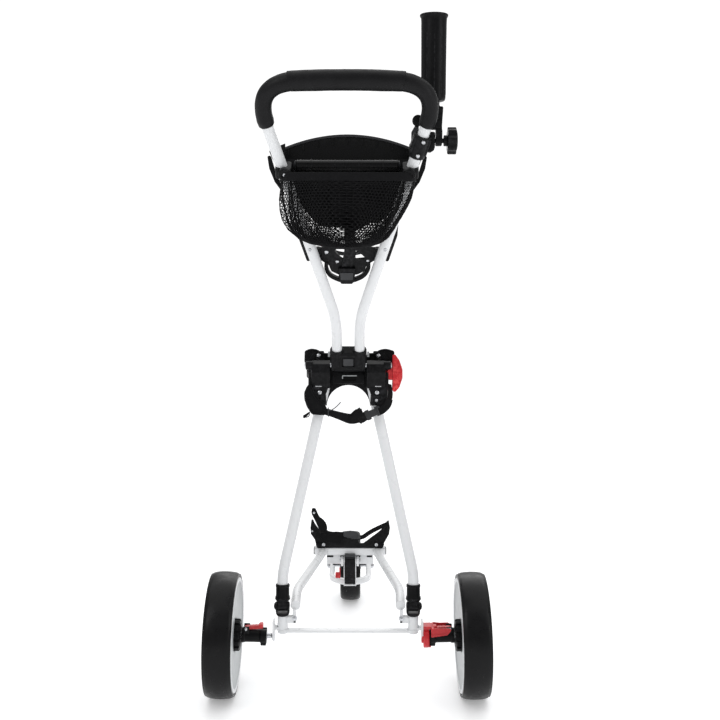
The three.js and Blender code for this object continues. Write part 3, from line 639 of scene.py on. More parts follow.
# ---- base frame ----
def base_frame():
    reach = CROSSBAR_Y - 12
    welds = []
    for name, side in SIDES:
        corners = [(side * 101.2, 0, FOOT.z / MM + 1, 0), (side * 104, 95, FOOT.z / MM, 30),
                   (side * 64, reach - 14, CROSSBAR_Z, 6), (side * 62, reach + 2.5, CROSSBAR_Z, 0)]
        node_piece("base_tube_" + name, [tube(corners, BASE_TUBE_R)], "white_tube", BASE, "base")
        bolts = [hexagon(4.4, 3, "y", (side * 103, -8.5, 155)), bar(2.4, 5, "y", (side * 103, -10.5, 155)),
                 bar(5.4, 1, "y", (side * 103, -7.2, 155), 0.2)]
        piece("brace_bolt_" + name, bolts, "steel", BASE, "base")
        weld_r = BASE_TUBE_R - 0.6
        path = hoop((side * 62, reach + 1, CROSSBAR_Z), (weld_r, 0, 0), (0, 0, weld_r))
        welds.append(sweep(path, circle(1.5, 8), (0, 1, 0)))
    section = rounded(oblong(20, 17), 2.4)
    beam = sweep([Vector((x, CROSSBAR_Y, CROSSBAR_Z)) for x in (-82, -40, 0, 40, 82)], section, (0, 0, 1))
    node_piece("crossbar", [beam, *welds], "white_tube", BASE, "base")
    caps = [plate(oblong(17.2, 14.4), 1.6, side * 81, side * 84, "yz", 0.6) for _, side in SIDES]
    piece("crossbar_caps", [moved(cap, (0, CROSSBAR_Y, CROSSBAR_Z)) for cap in caps],
          "black_plastic", BASE, "base")


def axle_frame():
    shapes = [plate(mirrored([(121, 7), (121, -7)]), 2, 125.5, 130.5, "xy", 0.8)]
    for _, side in SIDES:
        post = [(0, 123), (7.5, 123), (9.2, 124), (10, 126), (10, 158), (9.4, 158.6), (0, 158.6)]
        shapes.append(moved(lathe(post, 36, "z"), (side * UPRIGHT_X, 0, 0)))
        tab = plate([(13, 149), (-13, 149), (-13, 117), (-7, 109), (7, 109), (13, 117)], 4,
                    -2, 2, "yz", 0.5)
        shapes.append(moved(tab, (side * 143, 0, 0)))
        shapes.append(block(20, 16, 4, side * 134, 0, 134, 0.6))
        shapes.append(block(18, 14, 12, side * 109, 0, 151, 0.8, 1.5))
        shapes.append(block(6, 14, 27, side * 103, 0, 158.5, 0.8, 1.5))
        weld = hoop((side * UPRIGHT_X, 0, 130.8), (10.6, 0, 0), (0, 10.6, 0), 28)
        shapes.append(sweep(weld, circle(1.4, 8), (0, 0, 1)))
    node_piece("axle_frame", shapes, "white_tube", BASE, "base")
    bolts = []
    for _, side in SIDES:
        bolts.append(hexagon(4.2, 3, "z", (side * 134, 0, 137.2)))
        bolts.append(bar(2.3, 5, "z", (side * 134, 0, 140), 0.4, 16))
    piece("axle_frame_bolts", bolts, "steel", BASE, "base")


def foot_clevis(name, side):
    lift = FOOT.z / MM
    cup = lathe([(0, -19), (8.5, -19), (11.4, -17.6), (13, -14.6), (13.6, -10), (13.8, 6), (13, 7.4),
                 (0, 7.4)], 44, "z")
    gap = block(19.6, 40, 40, 0, 0, 7.4, 0)
    swing = prism([(4.8, 8.5), (9, 0.2), (11.4, -4), (13.6, -8.2), (20, -8.2), (20, 8.5)], -20, 20, "yz", 0)
    shapes = [cut(cup, gap, swing)]
    shapes.extend(bar(8.4, 2.6, "x", (x, 0, 0), 0.8) for x in (-11.4, 11.4))
    place = BASE @ Matrix.Translation((side * UPRIGHT_X * MM, 0, lift * MM))
    node_piece("foot_clevis_" + name, shapes, "black_plastic", place, "base")
    heads = [dome(7.6, 4.2, "x", (side * 12.8, 0, 0), side),
             dome(7.4, 1.2, "x", (side * -12.8, 0, 0), -side), bar(4, 25, "x", (0, 0, 0))]
    node_piece("foot_pin_" + name, heads, "gloss_black", place, "base")


# ---- rear wheels ----
def tyre(radius, rim_radius, half):
    """A smooth treaded tyre with a low crown, rounded shoulders and a bead lip on each side."""
    right = [(rim_radius + 0.5, half - 2.5), (rim_radius + 1.4, half - 0.6), (rim_radius + 3.4, half - 0.1),
             (rim_radius + 6.5, half - 0.6), (radius - 4.6, half - 2.2), (radius - 2.9, half - 4.2),
             (radius - 1.7, half - 7.4), (radius - 0.9, half - 12),
             (radius - 0.25, half * 0.3), (radius, 0)]
    left = [(r, -a) for r, a in reversed(right[:-1])]
    return lathe([*right, *left, right[0]], 120)


def rear_wheel(name):
    place = HUBS[name]
    body = "wheel_" + name
    node_piece("rear_tyre_" + name, [tyre(REAR_R, REAR_RIM_R, REAR_HALF)], "tyre", place, body, sharp=50)
    inner = [(10.5, -9), (26, -9), (30, -15.5), (33, -22.4), (62, -23.4), (88, -24), (97, -24.6),
             (100.5, -25.6), (102.5, -26.4), (107.6, -26.8), (109.2, -25.6), (109.2, 25.6), (107.6, 26.8),
             (102.5, 26.4), (100, 24), (92, 12), (74, 6), (44, 5), (34, 9), (30, 16),
             (10.5, 16), (10.5, -9)]
    shapes = [turned(inner, 1.4, 120)]
    for k in range(SPOKES):
        spoke = plate([(6.5, 32), (9.5, 98), (-9.5, 98), (-6.5, 32)], 3, 2, 15, "yz", 1.6)
        shapes.append(moved(spoke, turn=(math.tau * k / SPOKES, "X")))
    node_piece("rear_rim_" + name, shapes, "grey_rim", place, body)
    bead = [(101.5, 26.8), (108.2, 27.3), (109.3, 25.8), (107, 24.5), (101.5, 24.8), (101.5, 26.8)]
    edges = [turned([(r, turn * a) for r, a in bead], 0.5, 120) for turn in (-1, 1)]
    piece("rim_edges_" + name, edges, "white_plastic", place, body)
    disc = turned([(10.5, -33), (28, -33), (30.5, -31), (30.5, -20.5), (10.5, -20.5), (10.5, -33)], 0.8, 72)
    teeth = [moved(block(14, 5.4, 6, -28, 0, 30.6, 0.5), turn=(math.tau * k / 12, "X")) for k in range(12)]
    rings = [turned([(16, -34.2), (22, -34.2), (22, -32.6), (16, -32.6), (16, -34.2)], 0.5, 60),
             lathe([(10.5, -21), (12, -21), (12, -9.5), (10.5, -9.5), (10.5, -21)], 48)]
    node_piece("hub_disc_" + name, [cut(disc, *teeth), *rings], "black_plastic", place, body)
    race = lathe([(6, -8), (10.1, -8), (10.1, 16), (6, 16), (6, -8)], 40)
    node_piece("bearing_" + name, [race], "steel", place, body)
    cap = turned([(0, 21.5), (14, 21), (21.5, 18.4), (23.4, 16.4), (23.4, 15), (0, 15)], 1.2, 60)
    ring = turned([(9, 21.4), (12, 22.4), (15, 20.9), (12, 20), (9, 21.4)], 0.6, 60)
    piece("hub_cap_" + name, [cap, ring], "gloss_black", place, body)


def quick_release(name, side):
    """The axle, its moulded housing and its spring lever, which stay still as the wheel turns."""
    place = HUBS[name] @ Matrix.Translation((-TREAD_X * MM, 0, 0))
    shaft = lathe([(0, 141), (3.8, 141), (4.6, 142), (4.6, 144), (3.6, 144.6), (3.6, 147), (4.8, 147.6),
                   (5.4, 148.6), (5.4, 249), (0, 249)], 32)
    shapes = [shaft]
    if side < 0:
        shapes.append(turned([(5.4, 143.6), (9.2, 143.6), (9.2, 146), (5.4, 146), (5.4, 143.6)], 0.5, 40))
    node_piece("axle_" + name, shapes, "steel", place, "base")

    shell = turned([(5.8, 157), (14.2, 157), (15.2, 158), (15.2, 168), (13.2, 170), (13.2, 198),
                    (14.4, 200), (14.4, 205), (5.8, 205), (5.8, 157)], 0.9, 60)
    window = block(46, 15.2, 12, 179, 0, 17.4, 0)
    ears = [block(12, 3.6, 15, 196, y, 12.4, 1.2) for y in (-9.6, 9.6)]
    flange = block(11, 18, 7, 163, 0, -14.6, 2)
    node_piece("axle_housing_" + name, [cut(shell, window), *ears, flange], "black_plastic", place, "base")
    pin_x, pin_z = 197, 15.4
    pin = [bar(2.4, 24, "y", (pin_x, 0, pin_z), 0.6, 20)]
    pin.extend(dome(3.4, 1.6, "y", (pin_x, turn * 11.6, pin_z), turn) for turn in (-1, 1))
    piece("lever_pin_" + name, pin, "steel", place, "base")

    raised = Matrix.Rotation(0.1 if side < 0 else 0, 4, "Y")
    hub = place @ Matrix.Translation((pin_x * MM, 0, pin_z * MM)) @ raised
    arm = rounded([(-33, -4.2), (-2, -3.2), (2.8, -1), (2.8, 2.4), (-2, 3.2), (-14, 2.6), (-24, 2.8),
                   (-33, 1.6)], 1.4)
    nose = rounded([(-33.2, -2), (-27, -2), (-23.5, 2.6), (-27, 5.6), (-33.2, 5.6)], 1.4)
    shapes = [prism(arm, -5, 5, "xz", 0.8), prism(nose, -7, 7, "xz", 0.9)]
    shapes.extend(block(1.1, 11, 1.4, x, 0, 3.0, 0.4) for x in (-20, -17, -14, -11))
    if side > 0:
        skirt = rounded([(-37, 3.4), (-30, 5.8), (-18, 4.2), (-2, 4.4), (2, 1.6), (-1, -4), (-6, -9),
                         (-37, -13)], 1.6)
        groove = plate([(-36, -8.4), (-8, -6.2), (-8, -5), (-36, -7.2)], 0.4, -19, -17, "xz", 0)
        shapes.append(cut(prism(skirt, -17.8, -14.9, "xz", 0.8), groove))
        shapes.append(prism(skirt, 14.9, 17.8, "xz", 0.8))
        shapes.append(plate([(-37, 1.4), (-31, 1.4), (-31, 5.2), (-37, 3.4)], 0.8, -17, 17, "xz", 0.6))
    node_piece("release_lever_" + name, shapes, "red_plastic", hub, "lever_" + name)
    if side > 0:
        collar = turned([(6, 145.4), (21, 145.4), (22.4, 146.8), (22.4, 154.6), (21.4, 156.4), (6, 156.4),
                         (6, 145.4)], 0.8, 64)
        lip = turned([(16, 156), (22.2, 156), (22.2, 159.6), (16, 159.6), (16, 156)], 0.6, 64)
        step = turned([(6, 141.6), (12.6, 141.6), (13.6, 142.8), (13.6, 146.4), (6, 146.4), (6, 141.6)],
                      0.7, 56)
        notch = block(40, 70, 60, 150, 0, 44, 0)
        above = block(40, 70, 60, 158, 0, 14, 0)
        tower = plate([(145.4, 8), (156.6, 8), (156.6, 17), (161, 17), (161, 22.4), (145.4, 22.4)], 1.2,
                      -12, 12, "xz", 0.9)
        node_piece("lock_collar_right", [cut(collar, notch), cut(lip, above), step, tower],
                   "red_plastic", place, "base")


# ---- front wheel and fork ----
def front_fork():
    lugs = [plate([(-14, -9), (20, -9), (20, 9), (-14, 9)], 6, x - 2.5, x + 2.5, "yz", 0.7)
            for x in (-18, 18)]
    node_piece("fork_bracket", [block(108, 10, 24, 0, 19, 0.5, 1.2, 0), *lugs], "white_tube", FORK, "base")
    # Painted shadow: black blocks that stand for shade. The upper four are the shaded gap under the
    # crossbar, and the lower two are the shadow under the bracket's bottom edge.
    upper = ((-46, 15), (-18.5, 8), (20, 8), (45, 12))
    gap_shadow_blocks = [block(wide, 3, 3.6, x, 13.9, 7.4, 0.4) for x, wide in upper]
    gap_shadow_blocks.extend(block(wide, 6, 2.6, x, 18, -13, 0.4) for x, wide in ((-32, 16), (28, 18)))
    piece("bracket_gap_shadows", gap_shadow_blocks, "black_plastic", FORK, "base")
    pin = [bar(4, 44, "x", (0, 0, 0)), dome(6.4, 3.2, "x", (-21, 0, 0), -1),
           hexagon(6, 4, "x", (22.4, 0, 0))]
    node_piece("fork_pin", pin, "steel", FORK, "base")

    side = rounded([(-9, 7), (-3, 11.5), (4, 11.5), (9, 7), (13, -6), (25.6, -44), (25.6, -63), (9.5, -63),
                    (6, -50), (-10, -6)], 3)
    walls = [prism(side, x - 0.8, x + 0.8, "yz", 0.4) for x in (-13.4, 13.4)]
    back = plate([(9, 5), (13, -6), (25.6, -44), (25.6, -62), (22.6, -62), (22.6, -44), (10, -6), (6, 5)],
                 1, -14, 14, "yz", 0.5)
    foot = block(28, 14, 4, 0, 17.5, -60.6, 0.8)
    node_piece("fork_arm", [*walls, back, foot], "white_tube", FORK, "fork")
    strip = rounded([(-8.4, 6), (-6, 10), (1, 11), (5, -6), (16, -42), (16, -53), (5.4, -56), (-8.2, -6)],
                    2.0)
    cover = [prism(strip, -12, 12, "yz", 1.2)]
    cover.extend(moved(block(14, 1.2, 1.2, 0, -3.2, -24 - 6 * k, 0.3), (0, 1.75 * k, 0)) for k in range(4))
    node_piece("arm_cover", cover, "black_plastic", FORK, "fork")
    latch_cap = plate([(-7.6, 7.6), (-5.4, 11.2), (0.6, 11.8), (0, 8)], 0.8, -10.6, 10.6, "yz", 0.4)
    piece("arm_cap", [latch_cap], "grey_plastic", FORK, "fork")
    hood = plate([(-11, 12.6), (-11, 18.4), (1.4, 18.4), (1.4, 12.6)], 1, -12, 12, "yz", 0.6)
    piece("hinge_hood", [hood], "grey_plastic", FORK, "base")

    ahead = (Vector(JOINTS["front_wheel_spin"]["pos_m"]) - Vector(JOINTS["fork_fold"]["pos_m"])) / MM
    mid, bend = 44, ahead.y - FRONT_R
    straight = (ahead.y + 12, ahead.y - 20, bend + 30)
    path = [Vector((mid, y, ahead.z)) for y in straight]
    turns = [math.pi * k / 24 for k in range(25)]
    path.extend(Vector((math.cos(t) * mid, bend - math.sin(t) * mid, ahead.z)) for t in turns)
    path.extend(Vector((-mid, y, ahead.z)) for y in reversed(straight))
    section = rounded(oblong(12, 14), 3.4)
    node_piece("fork_loop", [sweep(path, section, (0, 0, 1))], "white_tube", FORK, "fork")
    shapes = [bar(4, 104, "x", ahead)]
    for turn in (-1, 1):
        shapes.append(hexagon(7.2, 5.2, "x", ahead + Vector((turn * 53.4, 0, 0))))
        shapes.append(bar(8.6, 1.6, "x", ahead + Vector((turn * 50.9, 0, 0)), 0.3))
        shapes.append(bar(3.8, 4, "x", ahead + Vector((turn * 56.4, 0, 0)), 0.8, 20))
    node_piece("front_axle", shapes, "steel", FORK, "fork")


def fork_catch():
    place = at_joint("catch_press")
    finger = rounded([(-4, 1), (4, 1), (3, -14), (2, -24), (-4, -24), (-5, -14)], 1.6)
    thumb = block(11.4, 9, 13, -4, 0.5, -17, 1.8, 0)
    ribs = [block(9, 1.1, 1.2, -4, -4.4, -21 + 2.6 * k, 0.3) for k in range(4)]
    node_piece("fork_catch", [prism(finger, -0.6, 1.8, "yz", 0.6), thumb, *ribs],
               "red_plastic", place, "catch")


def front_wheel():
    node_piece("front_tyre", [tyre(FRONT_R, FRONT_RIM_R, FRONT_HALF)], "tyre", FRONT,
               "front_wheel", sharp=50)
    half = [(9.5, 23.5), (16, 23.5), (18.5, 11), (26, 9), (52, 9.5), (62, 13), (65.5, 20.5),
            (67.4, 23.6), (70, 24.2)]
    profile = [*half, *[(r, -a) for r, a in reversed(half)], half[0]]
    shapes = [turned(profile, 1.2, 110)]
    for k in range(SPOKES):
        for turn in (-1, 1):
            spoke = plate([(4, 20), (5.5, 62), (-5.5, 62), (-4, 20)], 2, turn * 8, turn * 14, "yz", 1.2)
            shapes.append(moved(spoke, turn=(math.tau * k / SPOKES, "X")))
    node_piece("front_rim", shapes, "grey_rim", FRONT, "front_wheel")
    bush = turned([(4.5, -26.5), (8.6, -26.5), (9.1, -26), (9.1, 26), (8.6, 26.5), (4.5, 26.5),
                   (4.5, -26.5)], 0.4, 40)
    node_piece("front_bush", [bush], "steel", FRONT, "front_wheel")


# ---- mast ----
def mast():
    top_x = UPRIGHT_X - UPRIGHT_SPLAY * (UPRIGHT_LENGTH - FOOT_BEND)
    for name, side in SIDES:
        corners = [(side * UPRIGHT_X, 0, 14, 0), (side * UPRIGHT_X, 0, FOOT_BEND, 20),
                   (side * top_x, 0, UPRIGHT_LENGTH, 0)]
        node_piece("upright_" + name, [tube(corners, UPRIGHT_R, 10, 32)], "white_tube", MAST, "mast")
        sleeve = lathe([(0, 8), (9, 8.4), (12, 10), (14, 12.6), (14.2, 18), (13, 21), (12.9, 37),
                        (13.6, 37.6), (13.6, 41.4), (13, 42.4), (10.7, 42.4), (10.7, 20), (0, 20)], 44, "z")
        seam = lathe([(13.8, 13.6), (14.8, 14), (14.8, 15.6), (13.8, 16), (12, 16), (12, 13.6),
                      (13.8, 13.6)], 44, "z")
        knuckle = [bar(9.4, 19, "x", (0, 0, 0), 1), block(19, 17.6, 16, 0, 0, 7, 1.4, 2)]
        shapes = [moved(shape, (side * UPRIGHT_X, 0, 0)) for shape in (sleeve, seam, *knuckle)]
        node_piece("foot_" + name, shapes, "black_plastic", MAST, "mast")


def middle_bracket():
    arch = arc(0, 384, 42, 0.05, math.pi - 0.05, 22)
    body = rounded([(-75, 386, 3), (-77, 430, 3), (-77, 472, 4), (76, 472, 4), (72, 456, 3), (73, 430, 3),
                    (74, 386, 3)], 3)
    swing = prism([(-60, 480), (-2.6, 480), (-2.6, 462), (-4.1, 459.5), (-16.6, 426), (-60, 426)],
                  -33.4, 33.4, "yz", 0)
    panel = prism([*body, *arch], -2.5, 15, "xz", 0.9)
    rail = plate([(-74, 462), (-74, 470), (74, 470), (74, 462)], 2.5, -6.5, 4, "xz", 1.4)
    shapes = [cut(panel, swing), cut(rail, swing)]
    for _, side in SIDES:
        shapes.append(plate([(side * 36, 428), (side * 36, 462), (side * 39, 462), (side * 39, 430)], 0.6,
                            -5.5, 0, "xz", 0.5))
    for _, side in SIDES:
        leg = rounded([(side * 41, 387), (side * 74, 387), (side * 77, 424), (side * 77, 452),
                       (side * 35, 452), (side * 35, 432), (side * 43, 408)], 5)
        shapes.append(prism(leg, -14, 14, "xz", 4))
        cheek = rounded([(-13, 420), (2, 420), (2, 473), (-11, 473.5), (-24.5, 466),
                         (-25, 450), (-18, 434)], 4)
        shapes.append(prism(cheek, side * 53 - 18.4, side * 53 + 18.4, "yz", 2.6))
        shapes.append(bar(8.4, 14, "x", (side * 74.6, -HINGE_BACK, HINGE_UP), 1.2))
    socket = plate([(-31, 428), (-31, 456), (31, 456), (31, 428)], 4, -9.5, 0, "xz", 1.6)
    window = block(25, 10, 8, 2, -8, 438, 0)
    shapes.append(cut(socket, window, swing))
    node_piece("middle_bracket", shapes, "black_plastic", MAST, "mast")
    lip = plate([(-12, 438.5), (-12, 444.8), (16, 444.8), (16, 443.2), (-10.4, 443.2), (-10.4, 438.5)], 0.4,
                -10, -7.6, "xz", 0.3)
    piece("bracket_slot_lip", [cut(lip, swing)], "grey_rim", MAST, "mast")
    screws = []
    for _, side in SIDES:
        screws.append(screw_head(4.2, 2, "y", (side * 55, -14, 412), -1))
        screws.append(block(12, 1.6, 1.8, side * 57, -14.4, 424, 0.4))
    screws.append(screw_head(3.2, 1.8, "y", (54, -14, 397), -1))
    piece("bracket_screws", screws, "steel", MAST, "mast")
    pin = [bar(4, 157, "x", (0, -HINGE_BACK, HINGE_UP), 0.6, 28)]
    pin.extend(dome(6.6, 3, "x", (side * 81, -HINGE_BACK, HINGE_UP), side) for _, side in SIDES)
    node_piece("hinge_pin", pin, "steel", MAST, "mast")


def middle_rest():
    """The moulded cradle behind which the bag's body lies: two ears joined by a low web."""
    outer = [(-84, 64), (-83, 48), (-77, 30), (-66, 20), (-54, 16), (54, 16), (66, 20), (78, 30),
             (85, 48), (86, 64)]
    inner = [(80.5, 64), (79, 50), (73, 36), (63, 27.5), (50, 23.5), (-50, 23.5), (-63, 27.5), (-72, 36),
             (-77.5, 50), (-78.5, 64)]
    cradle = prism(rounded([*outer, *inner], 3, 3), 426, 492, "xy", 1.2)
    scoop = plate([(-62, 530), (-46, 484), (46, 484), (62, 530)], 8, -100, 100, "xz", 0)
    low = [prism([(side * 62, 425), (side * 100, 425), (side * 100, 468), (side * 82, 440)], -100, 100,
                 "xz", 0) for _, side in SIDES]
    shapes = [cut(cradle, scoop, *low)]
    for _, side in SIDES:
        rib = plate([(18, 450), (60, 470), (60, 484), (56, 488), (18, 478)], 3, -1.2, 1.2, "yz", 0.5)
        shapes.append(moved(rib, (side * 65, 2, 0), (side * -0.24, "Z")))
        wide = 3.5 if side > 0 else 0
        ear = rounded([(side * 35, 466), (side * 35, 487), (side * 50, 488), (side * 60, 494),
                       (side * 72, 496), (side * (85.5 + wide), 492.5), (side * (86 + wide), 472),
                       (side * (79 + wide), 446), (side * 75, 428), (side * 60, 428)], 5)
        shapes.append(prism(ear, 16, 21, "xz", 1.2))
        lip = curve_through([(side * 36, 15, 486), (side * 51, 14, 487), (side * 61, 13, 492.6),
                             (side * 73, 12.4, 494.4), (side * (83 + wide), 12, 491)], 5)
        shapes.append(sweep(lip, circle(1.8, 10), (0, 1, 0)))
        ridge = curve_through([(side * 61, 15, 478), (side * 58, 12, 470), (side * 58, 10, 452),
                               (side * 62, 10, 440)], 5)
        shapes.append(sweep(ridge, circle(2.4, 10), (0, 1, 0)))
        fold = plate([(side * 62, 488), (side * 66, 490), (side * (84 + wide), 466), (side * 79, 452)], 1.4,
                     13.4, 17, "xz", 1.2)
        shapes.append(fold)
    node_piece("middle_bag_rest", shapes, "black_plastic", MAST, "mast")
    screws = [screw_head(4.4, 2, "y", (side * 58, 16, 483), -1) for _, side in SIDES]
    clips = [plate([(side * 36, 480), (side * 40, 480), (side * 40, 491), (side * 36, 491)], 1.2, 10, 16,
                   "xz", 0.6) for _, side in SIDES]
    piece("rest_screws", screws, "steel", MAST, "mast")
    piece("rest_clips", clips, "grey_rim", MAST, "mast")


def pressed(name, shape, look, place, body, voxel, pressure, cap, *stands_for):
    """A stuffed pad: the shape swollen by cloth simulation, each point held within a cap."""
    item = placed(name, [shape], place)
    remesh = item.modifiers.new("remesh", "REMESH")
    remesh.mode = "VOXEL"
    remesh.voxel_size = voxel * MM
    bake(item)
    start = [v.co.copy() for v in item.data.vertices]
    cloth = item.modifiers.new("cloth", "CLOTH")
    cloth.settings.use_pressure = True
    cloth.settings.uniform_pressure_force = pressure
    cloth.settings.effector_weights.gravity = 0
    for number in range(1, PRESS_FRAMES + 1):
        bpy.context.scene.frame_set(number)
    bake(item)
    bpy.context.scene.frame_set(1)
    for vertex, rest in zip(item.data.vertices, start):
        off = vertex.co - rest
        if off.length > cap * MM:
            vertex.co = rest + off.normalized() * cap * MM
    smooth = item.modifiers.new("fine", "SUBSURF")
    smooth.levels = 1
    smooth.render_levels = 1
    bake(item)
    item.data.materials.append(LOOKS[look])
    item.data.shade_smooth()
    assigned(item, body, stands_for)
    return item


def bake(item):
    """Replaces an object's mesh with what its modifiers make of it."""
    bpy.context.view_layer.update()
    graph = bpy.context.evaluated_depsgraph_get()
    mesh = bpy.data.meshes.new_from_object(item.evaluated_get(graph))
    item.modifiers.clear()
    old, item.data = item.data, mesh
    bpy.data.meshes.remove(old)


def strap(points, width, thick, up, sizes=None):
    """Webbing through given points; sizes scales its section at each of those points."""
    line = curve_through(points, SPAN_STEPS)
    scales = []
    for k in range(len(line) if sizes else 0):
        i = min(k // SPAN_STEPS, len(sizes) - 2)
        t = k / SPAN_STEPS - i
        scales.append(sizes[i] * (1 - t) + sizes[i + 1] * t)
    return sweep(line, rounded(oblong(width, thick), thick * 0.45, 2), up, scales)


def bag_strap():
    """The strap of the middle rest, from its padded flap to the buckle and back up to the far leg."""
    main = strap([(-52, -23, 380), (-43, -24, 376), (-29, -25, 372), (-13, -26, 367), (4, -26, 362.5),
                  (17, -26, 365), (28, -26, 371)], 20, 2.6, (0, 1, 0.2),
                 [0.8, 0.66, 0.68, 0.8, 1.0, 1.1, 0.95])
    node_piece("bag_strap", [main], "webbing", MAST, "mast")
    tail = strap([(58, -24, 379), (66, -22, 385), (74, -14, 395), (77, -2, 405), (78, 10, 414),
                  (76, 20, 428)], 18, 2.2, (0, 1, 0))
    loose = strap([(56, -27, 375), (66, -27, 380), (75, -22, 389), (79, -14, 400)], 14, 1.8, (0, 1, 0))
    piece("bag_strap_tail", [tail, loose], "webbing", MAST, "mast")
    place = MAST @ Matrix.Translation((46 * MM, -23 * MM, 373 * MM)) @ Matrix.Rotation(-0.4, 4, "Y")
    female = plate([(-14, -10), (17, -9), (17, 9), (-14, 10)], 3.4, -5, 5, "xz", 1.4)
    windows = [block(12, 20, 3, 1, 0, z, 0.4) for z in (-8.2, 8.2)]
    bars = [block(2, 2.4, 14, x, -5.4, 0, 0.6) for x in (8, 12)]
    node_piece("strap_buckle", [cut(female, *windows), *bars], "grey_plastic", place, "mast")
    prongs = [plate([(-30, -9), (-22, -10), (-12, -8), (-12, 8), (-22, 10), (-30, 9)], 2.4,
                    -4, 4, "xz", 1.2)]
    prongs.append(block(2.2, 9, 21, -27, 0, 0, 0.8))
    prongs.append(block(2.2, 9, 18, -20, 0, 0, 0.8))
    piece("strap_plug", prongs, "gloss_black", place, "mast")
    folds = [strap([(4, -30, 360), (14, -31, 366), (22, -31, 374), (17, -29, 381)], 11, 2, (0, 1, 0)),
             strap([(8, -29, 370), (16, -30, 377), (26, -29, 378)], 8, 2, (0, 1, 0))]
    piece("strap_fold", folds, "webbing", MAST, "mast")
    tie = sweep(curve_through([(-38, -26, 377), (-30, -28, 380), (-21, -28, 387), (-14.5, -26, 394)], 6),
                circle(0.9, 8), (0, 1, 0))
    loop = sweep(hoop((-38, -24.5, 375), (0, 3, 0), (0, 0, 8)), circle(1.0, 8), (1, 0, 0))
    piece("zip_tie", [tie, loop], "grey_plastic", MAST, "mast")
    pad = plate([(-71, 428), (-65, 414), (-57, 402), (-47, 393), (-41, 384), (-43, 368), (-70, 370),
                 (-79, 384), (-84, 398), (-85, 411), (-81, 421), (-76, 429)], 4, -24.5, -17, "xz", 0)
    pressed("strap_pad", pad, "padding", MAST, "mast", 3.2, 3.0, 2, "strap_pad")
    hem = sweep(curve_through([(-74, -25.6, 423), (-69, -25.6, 412), (-60, -25.6, 398), (-48, -25.6, 386),
                               (-48, -25.6, 373), (-69, -25.6, 374), (-79, -25.4, 398)], 6),
                circle(0.8, 6), (0, 1, 0))
    piece("strap_pad_stitching", [hem], "webbing", MAST, "mast")
    frays = []
    random.seed(7)
    for k in range(7):
        x, z = -79 + random.uniform(-3, 4), 370 + random.uniform(-3, 3)
        tip = (x - random.uniform(2, 6), -21 + random.uniform(-3, 3), z - random.uniform(2, 6))
        frays.append(sweep(curve_through([(-74, -21, 375), (x, -21, z), tip], 4),
                           circle(0.9, 6), (0, 1, 0)))
    piece("strap_pad_fray", frays, "webbing", MAST, "mast")


def latch():
    outline = rounded([(84.4, 417), (87, 413), (91, 414), (98, 422, 12), (104, 440, 16), (104, 456, 16),
                       (98, 474, 12), (90, 485), (86, 485), (84.4, 482)], 2)
    handle = prism(outline, -11, 11, "xz", 2.6)
    lines = [plate([(93, z), (102.6, z + 1), (102.6, z + 2.2), (93, z + 1.2)], 0.4, -11.5, 11.5, "xz", 0.4)
             for z in (436, 448, 460)]
    stem = [bar(7, 16, "x", (78, 0, 447), 0.8), plate([(74.5, 439), (79, 436), (86, 436), (86, 459),
                                                       (77, 459), (74.5, 453)], 2, -9, 9, "xz", 1.6)]
    node_piece("latch_handle", [handle, *stem, *lines], "red_plastic", MAST, "latch")


